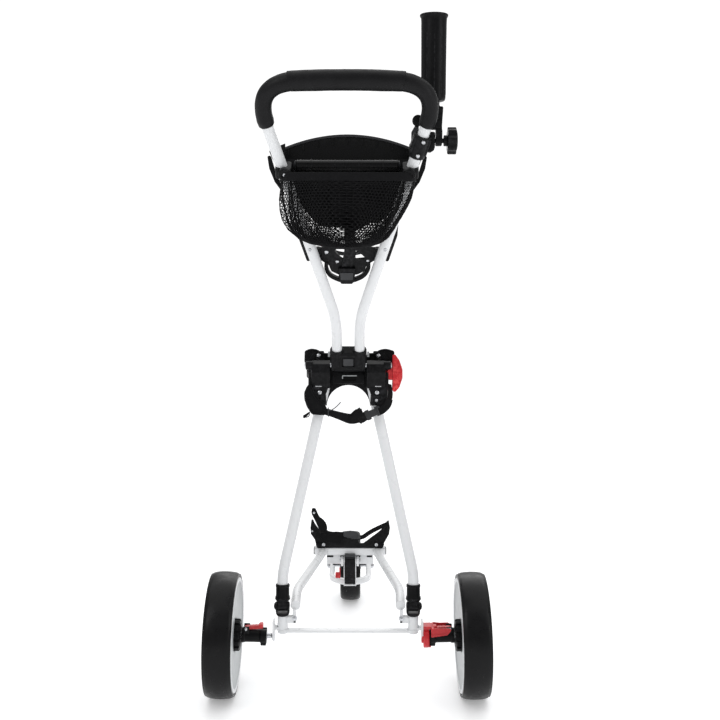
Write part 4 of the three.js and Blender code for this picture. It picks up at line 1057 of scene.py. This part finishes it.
# ---- lower rest ----
def lower_rest():
    top = CROSSBAR_Z + 8.9
    place = BASE @ Matrix.Translation((0, (CROSSBAR_Y - 2) * MM, top * MM))
    left_in = [(-85.5, 66), (-81, 56), (-62, 30), (-44, 14), (-33, 11), (-24, 11), (-20, 25)]
    right_in = [(18, 25), (22, 11), (31, 11), (46, 22), (67, 38), (82, 53), (86, 64)]
    outline = [(74, 0.3), (78, 11), (90, 33), (92, 48), (89, 65), *reversed(right_in), *reversed(left_in),
               (-88.5, 67), (-91, 48), (-90, 33), (-81, 20), (-77.5, 5), (-74, 0.3)]
    panel = prism(rounded(outline, 2.4, 3), -10, -4, "xz", 1.2)
    tray = rounded([(-66, -8), (66, -8), (60, 16), (46, 20), (34, 6), (-34, 6), (-46, 20), (-60, 16)], 5)
    shapes = [panel, prism(tray, 0.4, 4.4, "xy", 0.9)]
    for _, side in SIDES:
        wing = plate([(-9, 8), (6, 2), (28, 11), (32, 34), (20, 46), (-9, 52)], 6, -2.5, 2.5, "yz", 0.9)
        wing.transform(Matrix.Rotation(side * 0.44, 4, "Y"))
        shapes.append(moved(wing, (side * 64, 0, 6)))
        gusset = plate([(-6, 2), (12, 2), (12, 6), (-6, 16)], 2, side * 40 - 1.2, side * 40
                       + 1.2, "yz", 0.4)
        shapes.append(gusset)
        rim = curve_through([(x, -10.4, z) for x, z in (right_in[3:] if side > 0 else left_in[:4])], 5)
        shapes.append(sweep(rim, circle(1.7, 10), (0, 1, 0)))
        foot = plate([(side * 57, 0.2), (side * 75, 0.2), (side * 80, 12), (side * 57, 12)], 3,
                     -14, 6, "xz", 1.4)
        shapes.append(foot)
    node_piece("lower_bag_rest", shapes, "black_plastic", place, "base")
    rivets = [screw_head(4.0, 1.8, "y", (side * 60.5, -14, 9), -1) for _, side in SIDES]
    rivets.append(dome(2.6, 1.2, "y", (-82, -23, 86), -1))
    rivets.append(dome(2.4, 1.2, "y", (-86.5, -10.2, 40), -1))
    piece("rest_rivets", rivets, "steel", place, "base")
    pad = plate([(-89, 84), (-87, 97), (-79, 97), (-70, 77), (-60, 69), (-54, 61), (-51, 49), (-55, 38),
                 (-68, 38), (-74, 52), (-81, 68)], 4, -21, -15, "xz", 0)
    pressed("lower_pad", pad, "padding", place, "base", 2.8, 2.5, 3, "lower_pad")
    belt = strap([(-64, -13, 40), (-50, -14, 33), (-34, -14, 31), (-20, -14, 31), (-6, -14, 31)],
                 17, 2.4, (0, 1, 0))
    second = strap([(18, -13, 25), (30, -13, 27.5), (41, -13, 35), (53, -13, 42.5), (70, -13, 51),
                    (86, -12, 58)], 10, 2.4, (0, 1, 0))
    end = strap([(-60, -16, 39), (-44, -17, 35), (-30, -17, 36), (-14, -17, 34)], 10, 2.2, (0, 1, 0))
    under = strap([(-66, -13, 30), (-52, -14, 22), (-36, -14, 19), (-20, -14, 18)], 13, 2.4, (0, 1, 0))
    piece("lower_strap", [belt, second, end, under], "webbing", place, "base")
    buckle = [plate([(-15, 30), (-3, 26), (19, 26.5), (21, 35), (15, 41), (1, 43.5), (-15, 40)], 4, -20,
                    -14.6, "xz", 1.8), plate([(2, 25), (23, 24), (25, 29), (4, 29)], 1.4, -21,
                                             -14.6, "xz", 1.0)]
    piece("lower_buckle", buckle, "grey_plastic", place, "base")


# ---- handle ----
def handle_x(along):
    return LEG_X + HANDLE_SPLAY * max(0, along - LEG_BEND)


def handle():
    corner = HANDLE_TOP - CROWN
    right = [(LEG_X, 0, 2, 0), (LEG_X, 0, LEG_BEND, 34), (handle_x(corner), 0, corner, 72)]
    left = [(-x, y, z, back) for x, y, z, back in reversed(right)]
    whole = tube([*right, (0, 0, HANDLE_TOP, 60), *left], HANDLE_R, 14, 30)
    piece("handle_tube", [whole], "white_tube", HANDLE, "handle", "handle_tube_left", "handle_tube_right")
    start = (handle_x(GRIP_END), 0, GRIP_END)
    path = route([(*start, 0), (handle_x(corner), 0, corner, 74), (0, 0, HANDLE_TOP - 1, 90),
                  (-handle_x(corner), 0, corner, 74), (-start[0], 0, start[2], 0)], 18)
    lengths = [0.0]
    for a, b in zip(path, path[1:]):
        lengths.append(lengths[-1] + (b - a).length)
    total = lengths[-1]
    sizes = []
    for run in lengths:
        middle = math.exp(-((run / total - 0.5) / 0.3) ** 4)
        end = min(run, total - run)
        pinch = GRIP_PINCH * max(0.0, 1 - end / 5) ** 2
        bead = GRIP_BEAD * max(0.0, 1 - abs(end - 9) / 5)
        sizes.append(GRIP_R + GRIP_SWELL * middle - pinch + bead)
    dense_path, dense_sizes = refine(path, sizes, 2.5)
    grip = sweep(dense_path, circle(1, 40), (0, 1, 0), dense_sizes)
    item = node_piece("grip_foam", [grip], "grip_foam", HANDLE, "handle", sharp=60)
    ruffle(item, 0.22, 120, 0.35, 26)


def refine(path, sizes, step):
    points, scales = [path[0]], [sizes[0]]
    for i in range(1, len(path)):
        count = max(1, round((path[i] - path[i - 1]).length / step))
        for k in range(1, count + 1):
            points.append(path[i - 1].lerp(path[i], k / count))
            scales.append(sizes[i - 1] + (sizes[i] - sizes[i - 1]) * k / count)
    return points, scales


def ruffle(item, fine, fine_scale, broad, broad_scale):
    """Moves a mesh's points along their normals by a little noise, in millimetres."""
    mesh = item.data
    for vertex in mesh.vertices:
        off = noise.noise(vertex.co * fine_scale) * fine + noise.noise(vertex.co * broad_scale) * broad
        vertex.co += vertex.normal * off * MM


def socket_block():
    side = rounded([(-12, 0), (-12, 32), (-9, 37), (8, 40), (12, 38), (12, 0), (8.5, -8.5), (0, -12),
                    (-8.5, -8.5)], 3)
    body = prism(side, -32.5, 32.5, "yz", 1.8)
    wells = [bar(HANDLE_R + 0.5, 80, "z", (s * LEG_X, 0, 56), 0) for _, s in SIDES]
    window = block(24, 5, 22, 0, -12, 17, 0.5)
    shapes = [cut(body, *wells, window)]
    for _, s in SIDES:
        sleeve = lathe([(10.3, 8), (12.6, 8), (13.4, 10), (13.4, 38), (12.4, 40.4), (10.3, 40.4),
                        (10.3, 8)], 40, "z")
        shapes.append(moved(sleeve, (s * LEG_X, 0, 0)))
    node_piece("socket_block", shapes, "black_plastic", HANDLE, "handle")
    button = plate([(-9.8, 8), (9.8, 8), (9.8, 26), (-9.8, 26)], 2.4, -12.8, -9, "xz", 1.2)
    piece("socket_button", [button], "grey_plastic", HANDLE, "handle")


def crest(x):
    """How far the console's far edge rises above its corners."""
    return CREST_RISE * (1 - (x / CONSOLE_HALF) ** 2)


def console():
    clamp_x = handle_x(CONSOLE_S)
    for name, side in SIDES:
        wall = block(27, 28, 19, side * (clamp_x - 1), 0, CONSOLE_S, 2.2, 6)
        boss = bar(11, 9, "y", (side * (clamp_x - 4), -17, CONSOLE_S + 3), 1.6, 40)
        rim = turned([(6, -1.2), (9.6, -1.2), (9.6, 1), (6, 1), (6, -1.2)], 0.5, 40, "y")
        shapes = [wall, boss, moved(rim, (side * (clamp_x - 4), -22, CONSOLE_S + 3))]
        node_piece("console_clamp_" + name, shapes, "black_plastic", HANDLE, "handle")
        screw = screw_head(3.6, 1.8, "y", (side * (clamp_x - 4), -21.5, CONSOLE_S + 3), -1)
        piece("clamp_screw_" + name, [screw], "steel", HANDLE, "handle")
    bottom = [(-118, 4, 6), (-106, -8, 8), (106, -8, 8), (118, 4, 6), (132, 34, 4)]
    across = [CONSOLE_HALF * (1 - k / 12) for k in range(1, 24)]
    outer = rounded([*bottom, *[(x, 34 + crest(x), 0.001) for x in across], (-132, 34, 4)], 4)
    shell = prism(outer, 21, 107, "xz", 1.6)
    hollow = plate([(-103, -4), (103, -4), (114, 6), (140, 62), (140, 130), (-140, 130), (-140, 62),
                    (-114, 6)], 5, 24, 104, "xz", 0)
    opening = prism([(8, 20), (24, 20), (102, 61), (102, 160), (8, 160)], -104, 104, "yz", 0)
    shapes = [cut(shell, hollow, opening)]
    across = [CONSOLE_HALF * (1 - k / 20) for k in range(41)]
    rim = sweep([Vector((x, 105.5, 34.5 + crest(x))) for x in across],
                rounded(oblong(7.2, 5.2), 1.6), (0, 0, 1))
    piece("console_rim", [rim], "grey_plastic", CONSOLE, "handle")
    for k in range(9):
        x = -104 + 26 * k
        shapes.append(block(1.6, 2.2, 12, x, 102.2, 26 + crest(x), 0.3))
    node_piece("console_tray", shapes, "gloss_black", CONSOLE, "handle")
    roll = turned([(0, -86), (8.2, -86), (10, -84), (10, 84), (8.2, 86), (0, 86)], 1.4, 48)
    rings = [lathe([(10, x - 1.2), (10.5, x - 0.8), (10.5, x + 0.8), (10, x + 1.2), (9, x + 1.2),
                    (9, x - 1.2), (10, x - 1.2)], 48) for x in (-60, -20, 20, 60)]
    piece("console_roll", [moved(shape, (0, 14, 8)) for shape in (roll, *rings)], "gloss_black",
          CONSOLE, "handle")
    # The roll's end domes are real, but their grey plastic is a painted highlight that stands for the
    # lighter ends of the roll.
    caps = [dome(9.6, 4, "x", (side * 86, 14, 8), side, 40) for _, side in SIDES]
    piece("console_roll_end_highlights", caps, "grey_plastic", CONSOLE, "handle")
    hem = block(214, 4, 8, 0, 12, -12, 1.2, 0)
    ledge = block(228, 10, 5, 0, 17, -6, 1.4, 2)
    piece("console_ledge", [hem, ledge], "black_plastic", CONSOLE, "handle")
    wings = []
    for _, side in SIDES:
        blade = rounded([(side * 134, 24), (side * 131, 4), (side * 122, -18), (side * 111, -33),
                         (side * 107, -31), (side * 115, -14), (side * 122, 2), (side * 127, 18),
                         (side * 129, 26)], 1.6)
        wings.append(prism(blade, 18, 40, "xz", 0.8))
    piece("console_wings", wings, "black_plastic", CONSOLE, "handle")


# ---- net bag ----
# Each level of the bag from its rim down: height, half width to the left and to the right, half depth, and
# how far forward its middle lies.
NET_LEVELS = [(-14, 111, 114, 44, 8), (-28, 110, 110, 45, 9), (-46, 110, 104, 46, 11),
              (-64, 108, 96, 46, 17), (-82, 104, 88, 44, 26), (-98, 97, 80, 39, 36), (-111, 84, 71, 33, 44),
              (-120, 64, 58, 26, 50), (-127, 38, 36, 18, 53), (-129, 9, 9, 8, 54)]


def net_point(turn, depth, inset=1.0):
    """A point of the bag's skin: turn from 0 to 1 around, depth from 0 at the rim to 1 at the bottom."""
    spot = depth * (len(NET_LEVELS) - 1)
    i = min(int(spot), len(NET_LEVELS) - 2)
    t = spot - i
    z, left, right, half_y, mid_y = [a + (b - a) * t for a, b in zip(NET_LEVELS[i], NET_LEVELS[i + 1])]
    angle = turn * math.tau
    c, s = math.cos(angle), math.sin(angle)
    x, y = (math.copysign(abs(part) ** NET_SQUARENESS, part) for part in (c, s))
    slack = math.sin(math.pi * min(depth * 1.15, 1.0))
    fold = math.sin(angle * 11 + 1.3 * math.sin(angle * 2)
                    + depth * 2) * 3.4 + math.sin(angle * 23 + 2) * 1.6
    sag = noise.noise(Vector((c * 2.2, s * 2.2, depth * 2.5))) * 8
    push = (1 + (fold + sag) * slack / 110) * inset
    lean = 4 * slack * math.sin(angle * 3 + 0.6)
    half_x = right if x > 0 else left
    return Vector((x * half_x * push, mid_y + y * half_y * push, z + lean))


def netting(name, columns, rows, inset, yarn, *stands_for):
    """Hexagonal mesh cloth over the bag's skin, each edge of the mesh a yarn."""
    made = bmesh.new()
    spots = {}

    def corner(i, j):
        key = (i % (2 * columns), j)
        if key not in spots:
            shift = 0.33 if (key[0] + j) % 2 == 0 else 0.0
            depth = min((j + shift) / (rows + 0.4), 1.0)
            spots[key] = made.verts.new(net_point(key[0] / (2 * columns), depth, inset))
        return spots[key]

    for j in range(rows - 1):
        for i in range(j % 2, 2 * columns, 2):
            made.faces.new([corner(i, j), corner(i + 1, j), corner(i + 2, j), corner(i + 2, j + 1),
                            corner(i + 1, j + 1), corner(i, j + 1)])
    item = piece(name, [made], "net", CONSOLE, "handle", *stands_for, smooth=False)
    wire = item.modifiers.new("yarn", "WIREFRAME")
    wire.thickness = yarn * MM
    wire.use_replace = True
    wire.use_boundary = True
    wire.use_even_offset = False
    bake(item)
    item.data.shade_smooth()


def net_bag():
    netting("net_bag", 112, 34, 1.0, 1.6, "net_bag")
    netting("net_folds", 100, 30, 0.86, 1.6)
    rows, columns = 22, 60
    made = bmesh.new()
    grid = []
    for j in range(rows + 1):
        low = j / rows
        half = 92 - 34 * low * low
        row = []
        for k in range(columns + 1):
            side = k / columns * 2 - 1
            crease = (math.sin(side * 13 + low * 2) * 5 + math.sin(side * 29 + 1) * 2) * (0.3 + low)
            drop = 84 - 14 * side ** 2 + 3 * math.sin(side * 7)
            row.append(made.verts.new((side * half, 34 + 14 * low + crease, -12 - low * drop)))
        grid.append(row)
    for j in range(rows):
        for k in range(columns):
            made.faces.new((grid[j][k], grid[j][k + 1], grid[j + 1][k + 1], grid[j + 1][k]))
    panel = piece("net_lining", [made], "net", CONSOLE, "handle")
    thick = panel.modifiers.new("cloth", "SOLIDIFY")
    thick.thickness = 0.9 * MM
    bake(panel)
    band = [net_point(k / 96, 0.0) + Vector((0, 0, 2)) for k in range(97)]
    section = rounded(oblong(2.4, 14), 1.0, 2)
    piece("net_band", [sweep(band, section, (0, 0, 1))], "webbing", CONSOLE, "handle")


# ---- upper rest ----
def upper_rest():
    x = handle_x(REST_S)
    outline = [(x + 2, 18), (26, 22), (0, 20), (-26, 22), (-x - 2, 18), (-x + 4, -3), (-34, -17),
               (-30, -30), (-18, -37), (-8, -39), (8, -39), (18, -37), (30, -30), (34, -17), (x - 4, -3)]
    panel = plate(outline, 3.5, 11, 17, "xz", 1.3)
    holes = [plate([(-6, -7), (-14, 0), (-23, 14), (-20, 17.5), (-6, 17.5)], 1.5, 0, 30, "xz", 0),
             plate([(14, -5), (31, -3), (29, 2), (18, 13), (14, 15)], 1.5, 0, 30, "xz", 0)]
    shapes = [cut(panel, *holes)]
    post = plate([(-6, 60), (14, 60), (13.5, 16), (9, -26), (-12, -26), (-5.6, 16)], 1.5, 10, 17, "xz", 1.2)
    lower = plate([(-17, -20), (14, -20), (12, -46), (8, -54), (-12, -54), (-16, -46)], 3, 5, 14, "xz", 1.6)
    shapes.extend([post, lower])
    bowl = curve_through([(-38, 14, -10), (-38, 13, -26), (-28, 12, -41), (-2, 11, -50), (24, 12, -42),
                          (36, 13, -26), (37, 14, -10)], 6)
    shapes.append(sweep(bowl, rounded(oblong(7, 10), 2), (0, 1, 0)))
    for _, side in SIDES:
        wing = plate([(-6, -22), (26, -30), (44, 0), (40, 34), (20, 44), (-6, 36)], 7, -4.4, 4.4, "yz", 2.4)
        wing.transform(Matrix.Rotation(side * 0.267, 4, "Y"))
        shapes.append(moved(wing, (side * (x + 17), 8, 18)))
        lug = block(16, 12, 24, side * (x - 1), 9, 10, 2, 4)
        shapes.append(lug)
        shapes.append(block(14, 5, 15, side * (x + 13), 16, 10, 1.2))
    wells = [tube([(side * LEG_X, 0, -200, 0), (side * LEG_X, 0, LEG_BEND - REST_S, 34),
                   (side * handle_x(REST_S + 200), 0, 200, 0)], HANDLE_R + 0.4) for _, side in SIDES]
    shapes = [cut(shape, *wells) if i > 3 else shape for i, shape in enumerate(shapes)]
    node_piece("upper_bag_rest", shapes, "black_plastic", UPPER_REST, "handle")
    block_front = plate([(-14, -28), (10, -28), (9, -44), (-13, -44)], 2, 3.4, 5.6, "xz", 0.8)
    piece("upper_rest_block", [block_front], "grey_plastic", UPPER_REST, "handle")
    screws = [screw_head(size, 1.6, "y", (x, 11, z), -1) for size, x,
              z in ((4, -38, 11), (3.4, -19, -9), (3, 36, -7))]
    for _, side in SIDES:
        screws.append(screw_head(3.4, 2, "y", (side * (handle_x(REST_S + 30) + 1), -9.4, 30), -1))
    piece("upper_rest_screws", screws, "steel", UPPER_REST, "handle")
    belt = strap([(-36, 22, 12), (-20, 30, -2), (0, 33, -7), (20, 30, -2), (36, 22, 12)],
                 10, 2, (0, 1, 0.3))
    piece("upper_strap", [belt], "grey_plastic", UPPER_REST, "handle")


# ---- umbrella holder ----
def umbrella_holder():
    turn = Matrix.Rotation(math.atan(HANDLE_SPLAY), 4, "Y")
    place = HANDLE @ Matrix.Translation((handle_x(CLAMP_S) * MM, 0, CLAMP_S * MM)) @ turn
    bore = bar(HANDLE_R + 0.4, 80, "z", (0, 0, 0), 0)
    for name, sign in (("front", 1), ("back", -1)):
        shell = bar(14, 40, "z", (0, 0, 0), 1.4, 44)
        flange = block(30, 18, 30, 0, 0, 2, 1.6, 3)
        half = block(90, 40, 90, 0, -sign * 20.6, 0, 0)
        shapes = [cut(shell, bore, half), cut(flange, bore, half)]
        node_piece("umbrella_clamp_" + name, shapes, "black_plastic", place, "handle")
    bosses = [bar(4.6, 6, "y", (x, -12, z), 0.8, 24) for x, z in CLAMP_BOLTS]
    piece("clamp_bosses", bosses, "black_plastic", place, "handle")
    bolts = [screw_head(3.4, 2, "y", (x, -14.8, z), -1) for x, z in CLAMP_BOLTS]
    piece("clamp_bolts", bolts, "steel", place, "handle")
    pivot = Vector(JOINTS["umbrella_tilt"]["pos_m"]) / MM
    web = rounded([(-7.4, 14), (-15.5, 14), (-25, 4), (-29, -6), (-24, -17), (-15, -19.5),
                   (-9, -16), (-7.4, -11)], 3)
    piece("umbrella_lug", [prism(web, -8, 6, "xz", 1.8)], "black_plastic", UMBRELLA, "handle")
    stop = [bar(9.4, 10, "y", (-35, 6, 33), 2.4, 36), block(7, 7, 30, -37, 6, 18, 1.4, 2)]
    piece("umbrella_stop", stop, "black_plastic", UMBRELLA, "handle")
    pad = plate([(-46, -4), (-37, -8), (-34, 6), (-34, 22), (-41, 23), (-46, 14)], 4, -1, 5, "xz", 1.4)
    piece("umbrella_stop_pad", [pad], "grey_plastic", UMBRELLA, "handle")

    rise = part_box("umbrella_tube")[0].z / MM - pivot.z
    low = rounded([(-9, -9), (9, -9), (9, 24), (-9, 24)], 8.6, 8)
    high = rounded([(6, rise - 8), (-8, rise - 8), (-13.5, 34), (-15.5, 17.5), (3.8, 17.5), (4.6, 34)], 3)
    shapes = [prism(low, -6.4, 4, "yz", 1.6), prism(high, -7, 7, "xz", 2.2)]
    ridge = prism(rounded([(-4, 2), (4, 2), (4, 18), (-4, 18)], 3, 6), 3.6, 4.8, "yz", 0.5)
    neck = turned([(0, rise - 12), (7.6, rise - 12), (7.6, rise - 8), (5.8, rise - 6), (5.8, rise + 3),
                   (0, rise + 3)], 0.6, 36, "z")
    core = lathe([(0, rise - 10), (6, rise - 10), (6, rise - 2), (0, rise - 2)], 36, "z")
    shapes.extend([ridge, moved(neck, (-6, 0, 0)), moved(core, (-8, 0, 0))])
    node_piece("umbrella_arm", shapes, "black_plastic", UMBRELLA, "umbrella")
    r, tall, bore_r = 20, 138, 17.5
    profile = [(0, 0), (r - 4, 0), (r - 1.6, 1), (r - 0.4, 3.4), (r, 7), (r + 0.8, tall - 12),
               (r + 1.2, tall - 6), (r + 2.4, tall - 4), (r + 3, tall - 3), (r + 3, tall - 0.8),
               (r + 2.2, tall), (bore_r + 0.8, tall), (bore_r, tall - 1.4), (bore_r - 0.3, 10), (0, 9)]
    cup = [lathe(profile, 72, "z")]
    for k in range(CUP_RIBS):
        rib = block(2.2, 1.0, tall - 24, 0, r + 0.2, tall / 2 - 2, 0.4)
        cup.append(moved(rib, turn=(math.tau * k / CUP_RIBS, "Z")))
    tube_low, tube_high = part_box("umbrella_tube")
    offset = (tube_low.x + tube_high.x) / 2 / MM - pivot.x
    node_piece("umbrella_tube", [moved(shape, (offset, 0, rise)) for shape in cup], "black_plastic",
               UMBRELLA, "umbrella")

    lobes = []
    for k in range(96):
        turned_by = math.tau * k / 96
        reach = KNOB_R + KNOB_LOBE * math.cos(turned_by * 8)
        lobes.append((math.cos(turned_by) * reach, math.sin(turned_by) * reach))
    wheel = prism(lobes, 13, 28, "yz", 1.8)
    face = turned([(0, 26), (15, 26), (15, 28.8), (13, 29.4), (0, 29.4)], 1, 48)
    stem = turned([(0, 7), (9, 7), (9, 13), (7, 15), (0, 15)], 0.8, 40)
    boss = bar(4, 26, "x", (-1, 0, 0), 0.5, 28)
    node_piece("umbrella_knob", [wheel, face, stem, boss], "black_plastic", UMBRELLA, "knob")


# ---- camera, floor and light ----
def studio():
    scene = bpy.context.scene
    camera_data = bpy.data.cameras.new("camera")
    camera_data.lens = CAMERA_LENS
    camera_data.sensor_width = 36
    camera = bpy.data.objects.new("camera", camera_data)
    camera.location = (CAMERA_X, FOOT.y - CAMERA_BEHIND, CAMERA_HEIGHT)
    pitch, roll = math.radians(90 - CAMERA_DIP), math.radians(CAMERA_ROLL)
    aim = Matrix.Rotation(pitch, 4, "X") @ Matrix.Rotation(roll, 4, "Z")
    camera.matrix_world = Matrix.Translation(camera.location) @ aim
    scene.collection.objects.link(camera)
    scene.camera = camera

    bpy.ops.mesh.primitive_plane_add(size=60, location=(0, 0, cad_box[0].z - 0.0004))
    floor = bpy.context.object
    floor.name = "floor"
    floor.data.materials.append(surface("floor_paper", (0.93, 0.935, 0.945), (0.925, 0.93, 0.94), 0.75,
                                        0.05, specular=0.2, grain=0.05, patch_scale=2))
    paper = floor.data.materials[0].node_tree.nodes["Principled BSDF"]
    paper.inputs["Emission Color"].default_value = (1, 1, 1, 1)
    paper.inputs["Emission Strength"].default_value = 0.28

    world = bpy.data.worlds.new("studio")
    scene.world = world
    world.use_nodes = True
    tree = world.node_tree
    back = tree.nodes["Background"]
    back.inputs["Color"].default_value = (1, 1, 1, 1)
    path = tree.nodes.new("ShaderNodeLightPath")
    strength = tree.nodes.new("ShaderNodeMapRange")
    strength.inputs[3].default_value = 0.46
    strength.inputs[4].default_value = 1.1
    tree.links.new(path.outputs["Is Camera Ray"], strength.inputs[0])
    tree.links.new(strength.outputs[0], back.inputs["Strength"])

    def lamp(name, place, target, size, power):
        data = bpy.data.lights.new(name, "AREA")
        data.shape = "RECTANGLE"
        data.size, data.size_y = size
        data.energy = power
        light = bpy.data.objects.new(name, data)
        light.location = place
        light.rotation_euler = (Vector(target) - Vector(place)).to_track_quat("-Z", "Y").to_euler()
        scene.collection.objects.link(light)

    lamp("key", (-1.7, -1.9, 2.5), (0, 0, 0.6), (0.8, 1.8), 20)
    lamp("fill", (2.1, -1.5, 1.6), (0, 0, 0.6), (0.7, 2.0), 13)
    lamp("rear", (0.4, 2.6, 1.8), (0, 0, 0.6), (2.4, 1.6), 20)
    sun = bpy.data.lights.new("overhead", "SUN")
    sun.energy = 1.35
    sun.angle = 1.4
    overhead = bpy.data.objects.new("overhead", sun)
    overhead.rotation_euler = (-0.25, 0.12, 0)
    scene.collection.objects.link(overhead)
    scene.view_settings.view_transform = "Standard"


studio()
base_frame()
axle_frame()
for side_name, sign in SIDES:
    foot_clevis(side_name, sign)
    rear_wheel(side_name)
    quick_release(side_name, sign)
front_fork()
fork_catch()
front_wheel()
mast()
middle_bracket()
middle_rest()
bag_strap()
latch()
lower_rest()
handle()
socket_block()
console()
net_bag()
upper_rest()
umbrella_holder()

bpy.context.view_layer.update()
